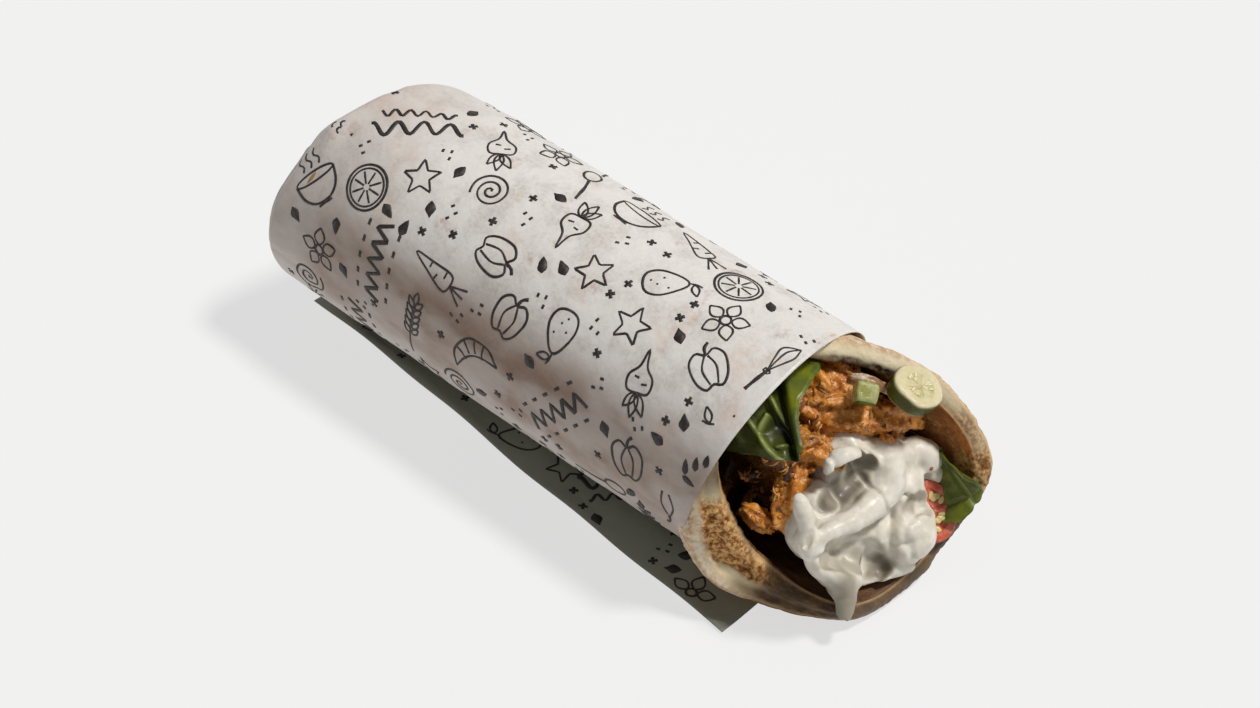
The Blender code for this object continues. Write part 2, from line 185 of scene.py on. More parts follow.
def even_line(points, step):
    """The same line with its points a step apart."""
    gaps = np.linalg.norm(np.diff(points, axis=0), axis=1)
    along = np.concatenate([[0], np.cumsum(gaps)])
    count = max(2, int(math.ceil(along[-1] / step)) + 1)
    spots = np.linspace(0, along[-1], count)
    return np.stack([np.interp(spots, along, points[:, k]) for k in range(points.shape[1])], -1)


def mouth_at(angle):
    """The bread's outer x and radius, then its inner x and radius, at these angles."""
    turn = np.arange(-1, 2)[:, None, None] * np.array([360, 0, 0, 0, 0])
    knots = (np.array(MOUTH)[None] + turn).reshape(-1, 5)
    angle = np.asarray(angle, float)
    after = np.searchsorted(knots[:, 0], angle, side="right")
    p0, p1, p2, p3 = (knots[after + k] for k in (-2, -1, 0, 1))
    span = (p2 - p1)[..., :1]
    t = (angle[..., None] - p1[..., :1]) / span
    slope1 = (p2 - p0) / (p2 - p0)[..., :1] * span
    slope2 = (p3 - p1) / (p3 - p1)[..., :1] * span
    rise = p2 - p1
    cubic = slope1 + slope2 - 2 * rise
    square = 3 * rise - 2 * slope1 - slope2
    return np.moveaxis((p1 + t * (slope1 + t * (square + t * cubic)))[..., 1:], -1, 0)


def paper_edge(angle):
    drop = (1 - np.cos(np.radians(angle))) / 2
    return PAPER_EDGE_X - PAPER_EDGE_DROP * drop - 2 * bump(angle, -118, 14)


def end_plane(angle, radius):
    turn = np.radians(angle - END_TILT_ANGLE)
    return END_X + END_TILT * radius / ROLL_RADIUS * np.cos(turn)


# Meshes


def grid_faces(rows, columns, wrap=False, first=0):
    """Quads over a grid of points, joined round if it wraps."""
    row = np.arange(rows - 1)[:, None] * columns
    column = np.arange(columns if wrap else columns - 1)[None]
    after = (column + 1) % columns
    corners = (row + column, row + after, row + columns + after, row + columns + column)
    return np.stack(corners, -1).reshape(-1, 4) + first


def sock(rings):
    """Points and faces of a closed skin over rings that are shut to a point at each end."""
    rows, columns = rings.shape[:2]
    points = np.concatenate([rings.reshape(-1, 3), rings[[0, -1]].mean(axis=1)])
    side = grid_faces(rows, columns, wrap=True)
    around = np.arange(columns)
    after = (around + 1) % columns
    start, end = rows * columns, rows * columns + 1
    last = (rows - 1) * columns
    first_fan = np.stack([after, around, np.full(columns, start)], -1)
    last_fan = np.stack([around + last, after + last, np.full(columns, end)], -1)
    return points, [*side.tolist(), *first_fan.tolist(), *last_fan.tolist()]


def slab(top, bottom):
    """Points and faces of a closed sheet between two open grids of points."""
    rows, columns = top.shape[:2]
    count = rows * columns
    points = np.concatenate([top.reshape(-1, 3), bottom.reshape(-1, 3)])
    upper = grid_faces(rows, columns)
    lower = grid_faces(rows, columns, first=count)[:, ::-1]
    index = np.arange(count).reshape(rows, columns)
    rim = np.concatenate([index[0, :-1], index[:-1, -1], index[-1, :0:-1], index[:0:-1, 0]])
    following = np.roll(rim, -1)
    edge = np.stack([rim, rim + count, following + count, following], -1)
    return points, [*upper.tolist(), *lower.tolist(), *edge.tolist()]


def grid_normals(grid, wrap=False):
    """Unit normals of a grid of points, from its neighbours either way."""
    down = np.gradient(grid, axis=0)
    if wrap:
        across = np.roll(grid, -1, axis=1) - np.roll(grid, 1, axis=1)
    else:
        across = np.gradient(grid, axis=1)
    normal = np.cross(across, down)
    return normal / np.maximum(np.linalg.norm(normal, axis=-1, keepdims=True), 1e-9)


def join_shapes(shapes):
    """One list of points and one of faces from several."""
    points, faces, first = [], [], 0
    for some_points, some_faces in shapes:
        points.append(some_points)
        faces += [[index + first for index in face] for face in some_faces]
        first += len(some_points)
    return np.concatenate(points), faces


def make_piece(name, shape, material, replaced=(), marks=None, smooth=True):
    """A mesh object that rides on the wrap and stands for these CAD nodes."""
    points, faces = shape
    mesh = bpy.data.meshes.new(name)
    mesh.from_pydata((np.asarray(points) * MM).tolist(), [], faces)
    mesh.validate()
    for mark, values in (marks or {}).items():
        layer = mesh.attributes.new(mark, "FLOAT", "POINT")
        layer.data.foreach_set("value", np.asarray(values, np.float32).ravel())
    mesh.materials.append(material)
    if smooth:
        mesh.shade_smooth()
    obj = bpy.data.objects.new(name, mesh)
    bpy.context.scene.collection.objects.link(obj)
    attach(obj, BODY)
    if replaced:
        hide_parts(*replaced)
    return obj


# Materials


def linear(colour):
    """An sRGB hex colour, such as "#D8C9A6", as the linear values that a shader takes."""
    shares = [int(colour[i : i + 2], 16) / 255 for i in (1, 3, 5)]
    return [s / 12.92 if s <= 0.04045 else ((s + 0.055) / 1.055) ** 2.4 for s in shares] + [1]


# Settings of the nodes used most
SMOOTH = {"interpolation_type": "SMOOTHSTEP"}
COLOURS = {"data_type": "RGBA"}


def connect(tree, node, inputs):
    """Set or link a node's inputs: by name, or in the order that the node shows them."""
    if isinstance(inputs, dict):
        pairs = [(node.inputs[name], value) for name, value in inputs.items()]
    else:
        pairs = zip([socket for socket in node.inputs if socket.enabled], inputs)
    for socket, value in pairs:
        if isinstance(value, bpy.types.NodeSocket):
            tree.links.new(value, socket)
        else:
            socket.default_value = value


def add_node(tree, kind, inputs=(), output=0, **settings):
    """Add a node with its settings and inputs. It gives back one of the node's outputs, by
    name or place, or the node itself where it has none."""
    node = tree.nodes.new("ShaderNode" + kind)
    for name, value in settings.items():
        setattr(node, name, value)
    connect(tree, node, inputs)
    if isinstance(output, str):
        return node.outputs[output]
    shown = [socket for socket in node.outputs if socket.enabled]
    return shown[output] if shown else node


def new_material(name):
    """An empty node tree with a Principled shader on its output."""
    material = bpy.data.materials.new(name)
    material.use_nodes = True
    tree = material.node_tree
    tree.nodes.clear()
    surface = add_node(tree, "BsdfPrincipled")
    add_node(tree, "OutputMaterial", {"Surface": surface})
    return material, tree, surface.node


def patches(tree, where, size, low, high, detail=3, rough=0.55, seed=0):
    """A mask of soft blotches this many millimetres across, 0 below low and 1 past high."""
    inputs = {"Vector": where, "W": seed, "Scale": 1 / (size * MM), "Detail": detail, "Roughness": rough}
    clouds = add_node(tree, "TexNoise", inputs, noise_dimensions="4D")
    return add_node(tree, "MapRange", (clouds, low, high), **SMOOTH)


# Greaseproof paper


class PaperSettings(bpy.types.PropertyGroup):
    thickness: FloatProperty(
        name="Thickness", description="Of the sheet", default=0.2 * MM, unit="LENGTH", precision=5
    )
    crumple: FloatProperty(
        name="Crumple", description="Height of the sheet's waves",
        default=0.36 * MM, unit="LENGTH", precision=5,
    )
    line: FloatProperty(
        name="Printed line", description="Width of the fine printed lines",
        default=0.6 * MM, unit="LENGTH", precision=5,
    )
    white: StringProperty(name="White", description="Of the clean sheet", default="#E4E0DB")
    grey: StringProperty(
        name="Grey", description="Where the sheet has soaked up water", default="#C9C2B9"
    )
    peach: StringProperty(
        name="Peach", description="Where warm food shows through", default="#DDC4B2"
    )
    # the brown of soaked-in juice, used also as painted shade low on the near side
    brown: StringProperty(
        name="Brown", description="Where meat juice has soaked in", default="#84634A"
    )
    # painted shade: the free sheet lies in the roll's shadow, so its colour is a darkened grey
    shadow: StringProperty(
        name="Back", description="The free sheet on the table", default="#96978A"
    )
    ink: StringProperty(name="Ink", description="Of the print", default="#2A2422")


TUBE_ROWS = 126
EDGE_ROWS = 8  # round the corner from the roll's side to its folded end
CAP_ROWS = 22
TUBE_COLUMNS = 252
ROUNDING = 3.2
SHEET_RADIUS = ROLL_RADIUS - 0.15
FLAP_COLUMNS, FLAP_ROWS = 176, 52
# How high over the table the lowest points are: of the wrapped sheet, of its inside, and
# of the free sheet's underside
PAPER_LOW, LINING_LOW, FLAP_LOW = 0.32, 0.34, 0.02


def fold_depth(x, angle):
    """How far the folds near the shut end draw the sheet in from the roll's radius."""
    crease_x = -62.5 - 4 * ease((-angle - 52) / 30) - 3 * ease((angle + 20) / 30)
    slack = 0.105 * np.maximum(crease_x - x, 0) * bump(angle, -42, 34)
    back_up = ease((-78 - x) / 7) * bump(angle, -27, 13)
    slack = slack * (1 - 0.9 * back_up)
    tuck = 0.09 * np.maximum(-60 - 0.12 * (angle - 60) - x, 0) * bump(angle, 75, 38)
    second = 0.07 * np.maximum(-70 + 0.1 * (angle + 165) - x, 0) * bump(angle, -165, 30)
    return slack + tuck + second


def corner_cut(angle, x):
    """The radius of the flat face that the end's fold makes of the near corner."""
    turn = np.radians(angle)
    facing = -0.55 * np.sin(turn) + 0.70 * np.cos(turn)
    flat = (66.6 + 0.45 * x) / np.maximum(facing, 0.2)
    return np.where(facing > 0.2, flat, 99)


def crumple_at(points):
    """Waves and fine creases of the sheet, in units of the crumple height."""
    stretched = points * np.array([0.7, 1, 1])
    waves = noise(stretched, 17, 3) + 0.45 * noise(stretched, 7.5, 5)
    crease = 1 - np.abs(noise(stretched, 12, 8)) * 2.6
    fine = 1 - np.abs(noise(points, 5.5, 21)) * 3.2
    return waves - 0.5 * np.maximum(crease, 0) ** 3 - 0.22 * np.maximum(fine, 0) ** 3


def folded_end(y, height):
    """How far the layers of the folded end stand out at a place on it: two side flaps
    tucked in, and the top flap folded down over them."""
    across, up = y, height - AXIS_Z
    left = ease((-0.82 * across - 0.57 * up - 1.5) / 0.8)
    right = ease((0.86 * across - 0.5 * up - 3.5) / 0.8)
    top = ease((up - 0.18 * across + 5.5) / 0.9)
    return 0.55 * left + 0.5 * right + 0.6 * top


def paper_grid(crumple):
    """Rings of points on the outside of the wrapped sheet, from its front edge back round
    the folded end to the middle of it."""
    angle = np.arange(TUBE_COLUMNS) * 360 / TUBE_COLUMNS - 180
    back = end_plane(angle, ROLL_RADIUS) + ROUNDING
    rows = []
    for share in np.linspace(0, 1, TUBE_ROWS + 1):
        x = mix(paper_edge(angle), back, share)
        rows.append((x, np.full(TUBE_COLUMNS, float(SHEET_RADIUS))))
    for turn in np.linspace(0, 90, EDGE_ROWS + 1)[1:]:
        radius = SHEET_RADIUS - ROUNDING * (1 - math.cos(math.radians(turn)))
        x = end_plane(angle, radius) + ROUNDING * (1 - math.sin(math.radians(turn)))
        rows.append((x, np.full(TUBE_COLUMNS, radius)))
    flat = SHEET_RADIUS - ROUNDING
    for share in np.linspace(1, 0.02, CAP_ROWS + 1)[1:]:
        radius = flat * share
        rows.append((end_plane(angle, radius), np.full(TUBE_COLUMNS, radius)))
    x = np.array([row[0] for row in rows])
    radius = np.array([row[1] for row in rows])
    angle = np.broadcast_to(angle, x.shape)
    outer = radius / SHEET_RADIUS
    radius = radius - fold_depth(x, angle) * ease(outer * 1.4 - 0.4)
    radius = np.minimum(radius, corner_cut(angle, x))
    points = on_roll(x, angle, radius)
    lift = crumple_at(points) * crumple * (1 + 1.6 * ease((-52 - x) / 26))
    # the sheet is drawn tight at its front edge, and rests on the table below
    calm = ease((paper_edge(angle) - x) / 6) * 0.75 + 0.25
    low = ease((points[..., 2] - 0.2) / 1.5)
    normal = grid_normals(points, wrap=True)
    points = points + normal * (np.minimum(lift, 0.1) * calm * low)[..., None]
    capped = np.arange(len(x)) > TUBE_ROWS + EDGE_ROWS - 2
    layers = folded_end(points[..., 1], points[..., 2]) + 0.5 * crumple_at(points * 1.7) * crumple
    points[..., 0] -= np.where(capped[:, None], layers * ease((1 - outer) * 9 + 0.1), 0)
    points[..., 2] = np.maximum(points[..., 2], PAPER_LOW)
    return points


def flap_grid():
    """The free sheet on the table, from its outer edge in under the roll."""
    x = np.linspace(0, 1, FLAP_COLUMNS)[None]
    y = np.linspace(0, 1, FLAP_ROWS)[:, None]
    left = mix(np.array(FLAP_BACK), np.array([FLAP_BACK[0], FLAP_INNER_Y]), y[..., None])
    far_corner = np.array([FLAP_FRONT[0] + FLAP_CORNER_LEAD, FLAP_INNER_Y])
    right = mix(np.array(FLAP_FRONT), far_corner, y[..., None])
    flat = mix(left[:, :1], right[:, :1], x[..., None])
    out = np.broadcast_to(1 - y, flat.shape[:2])  # 1 at the free edge
    along = flat[..., 0]
    curl = 1.9 * bump(along, -55, 34) * ease((out - 0.8) / 0.2)
    curl = curl + 0.5 * ease((out - 0.86) / 0.14) * (1 + np.sin(along / 6.5))
    wave = 0.25 + 0.25 * noise(np.stack([along, flat[..., 1], along * 0], -1), 19, 31)
    free = ease((-12 - flat[..., 1]) / 9)
    rise = 0.3 + (wave + curl) * free * np.ones_like(along)
    return np.concatenate([flat, rise[..., None]], -1)


def grid_spot(grid, row, column, wrap):
    """Points at fractional rows and columns of a grid, and its normals there."""
    normals = grid_normals(grid, wrap)
    rows, columns = grid.shape[:2]
    row = np.clip(row, 0, rows - 1.001)
    column = column % columns if wrap else np.clip(column, 0, columns - 1.001)
    i, j = np.floor(row).astype(int), np.floor(column).astype(int)
    s, t = (row - i)[..., None], (column - j)[..., None]
    after = (j + 1) % columns
    found = []
    for values in (grid, normals):
        upper = mix(values[i, j], values[i, after], t)
        lower = mix(values[i + 1, j], values[i + 1, after], t)
        found.append(mix(upper, lower, s))
    return found


def tube_spot(grid, spots):
    """Places on the roll's side, from x and arc length round from the top."""
    angle = np.degrees(spots[..., 1] / SHEET_RADIUS)
    back = end_plane(angle, ROLL_RADIUS) + ROUNDING
    edge = paper_edge((angle + 180) % 360 - 180)
    row = (edge - spots[..., 0]) / (edge - back) * TUBE_ROWS
    past = back - spots[..., 0]  # the print runs on round the corner
    corner = ROUNDING * np.pi / 2
    turned = TUBE_ROWS + np.clip(past / corner, 0, 1) * EDGE_ROWS
    row = np.where(past > 0, turned, row)
    return grid_spot(grid, row, (angle + 180) / 360 * TUBE_COLUMNS, True)


def cap_spot(grid, spots):
    """Places on the folded end, from y and height over the roll's axis."""
    reach = np.hypot(spots[..., 0], spots[..., 1])
    angle = np.degrees(np.arctan2(spots[..., 0], spots[..., 1]))
    flat = SHEET_RADIUS - ROUNDING
    share = (1 - np.minimum(reach / flat, 1)) / 0.98
    row = TUBE_ROWS + EDGE_ROWS + share * CAP_ROWS
    return grid_spot(grid, row, (angle + 180) / 360 * TUBE_COLUMNS, True)


def flap_spot(grid, spots):
    """Places on the free sheet, from x and y."""
    x, y = spots[..., 0], spots[..., 1]
    share = (x - FLAP_BACK[0]) / (FLAP_FRONT[0] - FLAP_BACK[0])
    outer = mix(FLAP_BACK[1], FLAP_FRONT[1], share)
    inward = (y - outer) / (FLAP_INNER_Y - outer)
    columns = grid.shape[1] - 1
    share = share / (1 + inward * FLAP_CORNER_LEAD / (FLAP_FRONT[0] - FLAP_BACK[0]))
    return grid_spot(grid, inward * (grid.shape[0] - 1), share * columns, False)


# The print: kitchen doodles drawn as strokes, each a line of points and its width


def ring(x, y, wide, high, turn=0, first=0, last=360, width=1):
    sweep = np.radians(np.linspace(first, last, 40))
    points = np.stack([wide * np.cos(sweep), high * np.sin(sweep)], -1)
    return turned(points, turn) + (x, y), width


def turned(points, degrees):
    turn = math.radians(degrees)
    across = np.array([[math.cos(turn), math.sin(turn)], [-math.sin(turn), math.cos(turn)]])
    return np.asarray(points, float) @ across


def line(*knots, width=1, closed=False, steps=8):
    return smooth_line(knots, steps, closed), width


def dash(x, y, length, turn, width=1):
    end = turned([[length / 2, 0]], turn)[0]
    return np.array([(x, y) - end, (x, y) + end]), width


def blade(x, y, length, wide, turn, filled=False):
    """A leaf shape from its foot, as an outline or as one broad stroke."""
    along = np.linspace(0, 1, 14)
    swell = wide / 2 * np.sin(np.pi * along ** 0.8)
    if filled:
        points = np.stack([along * length, along * 0], -1)
        return [(turned(points, turn) + (x, y), np.maximum(2 * swell, 0.15) / 0.5)]
    sides = [np.stack([along * length, side * swell], -1) for side in (1, -1)]
    return [(turned(side, turn) + (x, y), 1) for side in sides]


def draw_carrot():
    body = line(
        (-1.6, 5), (-2.6, 3.4), (-1.5, -2), (0, -8), (1.5, -2), (2.6, 3.4), (1.6, 5), closed=True
    )
    fronds = [line((0, 5.2), (x / 2, 7.5), (x, 10)) for x in (-2.6, 0, 2.4)]
    marks = [dash(-1.2, 2.6, 1.8, 8), dash(1, 0.4, 1.6, -6), dash(-0.4, -2.4, 1.4, 6)]
    return [body, *fronds, *marks]


def draw_pear():
    body = line(
        (0, 5.2), (-2.1, 3.2), (-3.9, -1.6), (-3, -5.2), (0, -6.2), (3, -5.2), (3.9, -1.6), (2.1, 3.2),
        closed=True, width=1.2,
    )
    specks = [dash(x, y, 0.5, 40) for x, y in ((-1.5, -1), (0.6, -2.6), (1.7, 0.2), (-0.6, -4.2))]
    return [body, line((0, 5.2), (0.3, 7), (1.1, 8.4)), *blade(0.4, 6.4, 4, 1.9, 12), *specks]


def draw_lemon_wheel():
    spokes = [
        line((0.9 * math.cos(a), 0.9 * math.sin(a)), (4.3 * math.cos(a), 4.3 * math.sin(a)))
        for a in np.arange(8) * math.pi / 4
    ]
    return [ring(0, 0, 6, 6, width=1.3), ring(0, 0, 5, 5), *spokes]


def draw_pea_pod():
    outer = line((-8, 1.6), (-4, -2.4), (1, -3.4), (6, -1.4), (8.4, 2.4), width=1.2)
    inner = line((-8, 1.6), (-3.6, 0.6), (1, 0.2), (5, 1), (8.4, 2.4))
    peas = [ring(x, y, 1.25, 1.25) for x, y in ((-4, -0.6), (-1.1, -1.2), (1.9, -1.3), (4.7, -0.3))]
    return [outer, inner, *peas, line((8.4, 2.4), (9.4, 3.4), (9.2, 4.6))]


def draw_wheat():
    grains = []
    for k in range(5):
        foot = -1 + 2.2 * k
        for side in (-1, 1):
            grains += blade(0.3 * side, foot, 3.4, 1.6, 90 - 38 * side)
    return [line((0, -9), (-0.3, -3), (0, 8.5)), *grains, *blade(0, 9, 3.6, 1.6, 90)]


def draw_flower():
    petals = []
    for k in range(5):
        turn = 72 * k + 18
        foot = turned([[1.5, 0]], turn)[0]
        petals += blade(foot[0], foot[1], 4.6, 3.4, turn)
    return [ring(0, 0, 1.4, 1.4, width=1.3), *petals]


def draw_star():
    spots = [
        (5.2 if k % 2 == 0 else 2.3) * np.array([math.sin(k * math.pi / 5), math.cos(k * math.pi / 5)])
        for k in range(11)
    ]
    return [(np.array(spots), 1.1)]


def draw_spiral():
    sweep = np.linspace(0.6, 5.4 * math.pi, 90)
    return [(np.stack([np.cos(sweep), np.sin(sweep)], -1) * (sweep * 0.31)[:, None], 1.1)]


def draw_croissant():
    back = line((-7.5, -3), (-5.8, 1.8), (0, 4.6), (5.8, 1.8), (7.5, -3), width=1.2)
    belly = line((-7.5, -3), (-3.6, -0.8), (0, 0), (3.6, -0.8), (7.5, -3))
    folds = [
        line((x, y), (x * 0.72, y - 2.1), (x * 0.62, y - 3.7))
        for x, y in ((-4.8, 2.7), (-1.7, 4.3), (1.9, 4.3), (4.8, 2.7))
    ]
    return [back, belly, *folds]


def draw_pepper():
    body = line(
        (0, 3.6), (-2.4, 4.8), (-4.6, 2.4), (-4.2, -2.4), (-2.2, -5.2), (0, -4.4), (2.2, -5.2),
        (4.2, -2.4), (4.6, 2.4), (2.4, 4.8), closed=True, width=1.2,
    )
    ribs = [line((-0.4, 3.4), (-1.8, 0), (-0.8, -4.2)), line((0.5, 3.4), (1.9, 0), (1.2, -4.4))]
    return [body, *ribs, line((0, 3.6), (0.2, 5.6), (1.4, 6.8), width=1.6)]


def draw_bowl():
    side = line((-6.5, 2), (-5.6, -2.2), (-2.4, -5), (2.4, -5), (5.6, -2.2), (6.5, 2), width=1.3)
    steam = [line((x, 4.4), (x + 0.8, 5.8), (x - 0.5, 7.2), (x + 0.4, 8.8)) for x in (-2.6, 0.2, 3)]
    return [side, ring(0, 2, 6.5, 1.3), dash(0, -5.9, 4.6, 0), *steam]


def draw_whisk():
    loops = [line((0, -2), (w * 0.6, 1.5), (w, 5), (0, 8), width=0.9) for w in (-3, -1.3, 1.3, 3)]
    return [*loops, line((0, -9), (0, -2), width=1.8), ring(0, -2.2, 1, 0.6)]


def draw_spoon():
    return [ring(0, 5.4, 2.3, 3.4, width=1.2), line((0, 2), (0.2, -3), (-0.2, -9), width=1.6)]


def draw_fish():
    body = line(
        (-6.5, 0), (-3, 2.8), (2, 2.2), (5.6, -0.2), (2, -2.4), (-3, -2.8), closed=True, width=1.1
    )
    tail = line((5.2, 0), (8.6, 2.6), (7.8, 0), (8.6, -2.6), (5.2, -0.2), steps=3)
    scales = [
        ring(x, y, 0.9, 0.9, first=-80, last=80)
        for x, y in ((-1.5, 1), (-1.5, -1), (0.6, 0.1), (2.5, 0.9), (2.5, -0.9))
    ]
    return [body, tail, *scales, ring(-4.6, 0.7, 0.35, 0.35)]


def draw_radish():
    body = line(
        (0, 3), (-3, 2.6), (-3.4, -0.8), (-1, -3.6), (0, -8), (1, -3.6), (3.4, -0.8), (3, 2.6),
        closed=True, width=1.1,
    )
    tops = [*blade(0, 3, 6, 2.4, 118), *blade(0, 3, 6.4, 2.4, 84), *blade(0, 3, 5.2, 2.2, 52)]
    return [body, *tops, dash(-1.4, 0.6, 1.6, 10), dash(1, -0.8, 1.4, -8)]


def draw_herb():
    """A twig of broad solid leaves."""
    leaves = [line((0, -8), (0.4, 0), (-0.2, 6), width=1.3), *blade(-0.2, 6, 3.6, 2, 92, True)]
    for k, y in enumerate((-5, -1.8, 1.4, 4.2)):
        leaves += blade(0.1, y, 4 - 0.4 * k, 1.8, 30 + 4 * k, True)
        leaves += blade(0.1, y + 0.9, 4 - 0.4 * k, 1.8, 150 - 4 * k, True)
    return leaves


def draw_waves():
    """Two rows of bold waves."""
    along = np.linspace(-12, 12, 70)
    crest = 2.1 * np.sin(along * 0.95)
    low = 1.1 * np.sin(along * 1.3 + 1)
    return [(np.stack([along, crest + 2.6], -1), 2.1), (np.stack([along * 0.8, low - 2.6], -1), 1.5)]


def draw_zigzag():
    """A bold zigzag between two rows of dashes."""
    knots = [(-11 + 2.2 * k, 2.3 if k % 2 else -2.3) for k in range(11)]
    dashes = [dash(x, y, 1.7, 0, width=1.6) for x in np.arange(-9, 10, 4.5) for y in (-5, 5)]
    return [(np.array(knots), 2.0), *dashes]


def draw_loops():
    """A long looping flourish."""
    sweep = np.linspace(0, 8 * math.pi, 150)
    x = sweep * 0.82 - 10.3 - 1.9 * np.sin(sweep)
    return [(np.stack([x, 3.1 * np.cos(sweep) * (1 - sweep / 46)], -1), 1.5)]


def draw_dotted_ring():
    """A ring of dots round a small five-leaf rosette."""
    dots = [
        dash(7.6 * math.cos(a), 7.6 * math.sin(a), 0.5, math.degrees(a))
        for a in np.arange(40) * math.pi / 20
    ]
    rosette = []
    for k in range(5):
        rosette += blade(0, 0, 4.4, 2.2, 72 * k)
    return [ring(0, 0, 6.8, 6.8, width=1.2), *dots, *rosette]


def draw_plus():
    return [dash(0, 0, 2.4, 0, width=1.6), dash(0, 0, 2.4, 90, width=1.6)]


def draw_dots():
    return [dash(x, y, 0.7, 30, width=2) for x, y in ((-1.6, 0), (0.2, 1.4), (1.7, -0.5))]


def draw_drop():
    return blade(0, -2.2, 4.4, 2.6, 90, True)


DOODLES = (  # each drawing, and how far it reaches from its middle
    (draw_waves, 11),
    (draw_carrot, 8.5),
    (draw_dotted_ring, 9),
    (draw_pear, 7.5),
    (draw_zigzag, 11),
    (draw_herb, 8),
    (draw_lemon_wheel, 7),
    (draw_pea_pod, 8.5),
    (draw_flower, 6.5),
    (draw_loops, 10),
    (draw_croissant, 8),
    (draw_pepper, 7),
    (draw_wheat, 9.5),
    (draw_bowl, 8.5),
    (draw_spiral, 6),
    (draw_radish, 8),
    (draw_fish, 8),
    (draw_whisk, 8.5),
    (draw_star, 5.5),
    (draw_spoon, 8),
    (draw_zigzag, 11),
    (draw_waves, 11),
)
FILLERS = ((draw_drop, 2.6), (draw_plus, 2.2), (draw_dots, 2.8))
CLEAR = 1.7  # bare paper kept between two drawings


def strew_doodles(low, high, round_by, seed, tries=5000):
    """Places for the drawings over a stretch of sheet, big ones first, none touching."""
    pick = np.random.default_rng(seed)
    placed = []
    order = [DOODLES[k % len(DOODLES)] for k in range(tries)]
    order += [FILLERS[k % len(FILLERS)] for k in range(tries // 2)]
    waiting = 0
    for draw, reach in order:
        big = reach > 4
        if big and waiting > 600:
            continue
        spot = pick.uniform(low, high)
        turn = pick.uniform(0, 360)
        clear = True
        for other, _, _, other_reach in placed:
            gap = spot - other
            if round_by:
                gap[1] = (gap[1] + round_by / 2) % round_by - round_by / 2
            if math.hypot(*gap) < (reach + other_reach) * 0.86 + CLEAR * (1 if big else 0.5):
                clear = False
                break
        waiting = 0 if clear else waiting + 1
        if clear:
            placed.append((spot, turn, draw, reach))
    return placed


INK_ABOVE = 0.07  # millimetres of a printed strip over the sheet, and sunk into it
INK_BELOW = 0.06


def ribbon(stroke, width, place, turn, spot_on, line_width):
    """One stroke as a closed thin strip that lies on the sheet."""
    points = even_line(stroke, 0.75)
    if len(points) < 3:
        points = even_line(stroke, 0.3)
    share = np.linspace(0, 1, len(points))
    if np.ndim(width):
        width = np.interp(share, np.linspace(0, 1, len(width)), width)
    half = np.broadcast_to(width, share.shape) * line_width / 2
    # a pen's pressure
    half = half * (0.88 + 0.12 * np.sin(share * 9 + place[0]))
    way = np.gradient(points, axis=0)
    way /= np.maximum(np.linalg.norm(way, axis=1, keepdims=True), 1e-9)
    side = np.stack([-way[:, 1], way[:, 0]], -1) * half[:, None]
    closed = np.linalg.norm(points[0] - points[-1]) < 0.01
    rows = [turned(points + side * k, turn) + place for k in (-1, 0, 1)]
    spots = np.stack(rows, 1)
    on, up = spot_on(spots)
    top = on + up * INK_ABOVE
    low = on - up * INK_BELOW
    if closed:
        top[-1], low[-1] = top[0], low[0]
    return slab(top, low)


def print_sheet(placed, spot_on, line_width, keep):
    """Every stroke of the placed drawings, as one list of shapes."""
    strips = []
    for place, turn, draw, _ in placed:
        for stroke, width in draw():
            middle = turned(stroke, turn) + place
            if keep(middle):
                strips.append(ribbon(stroke, width, place, turn, spot_on, line_width))
    return strips


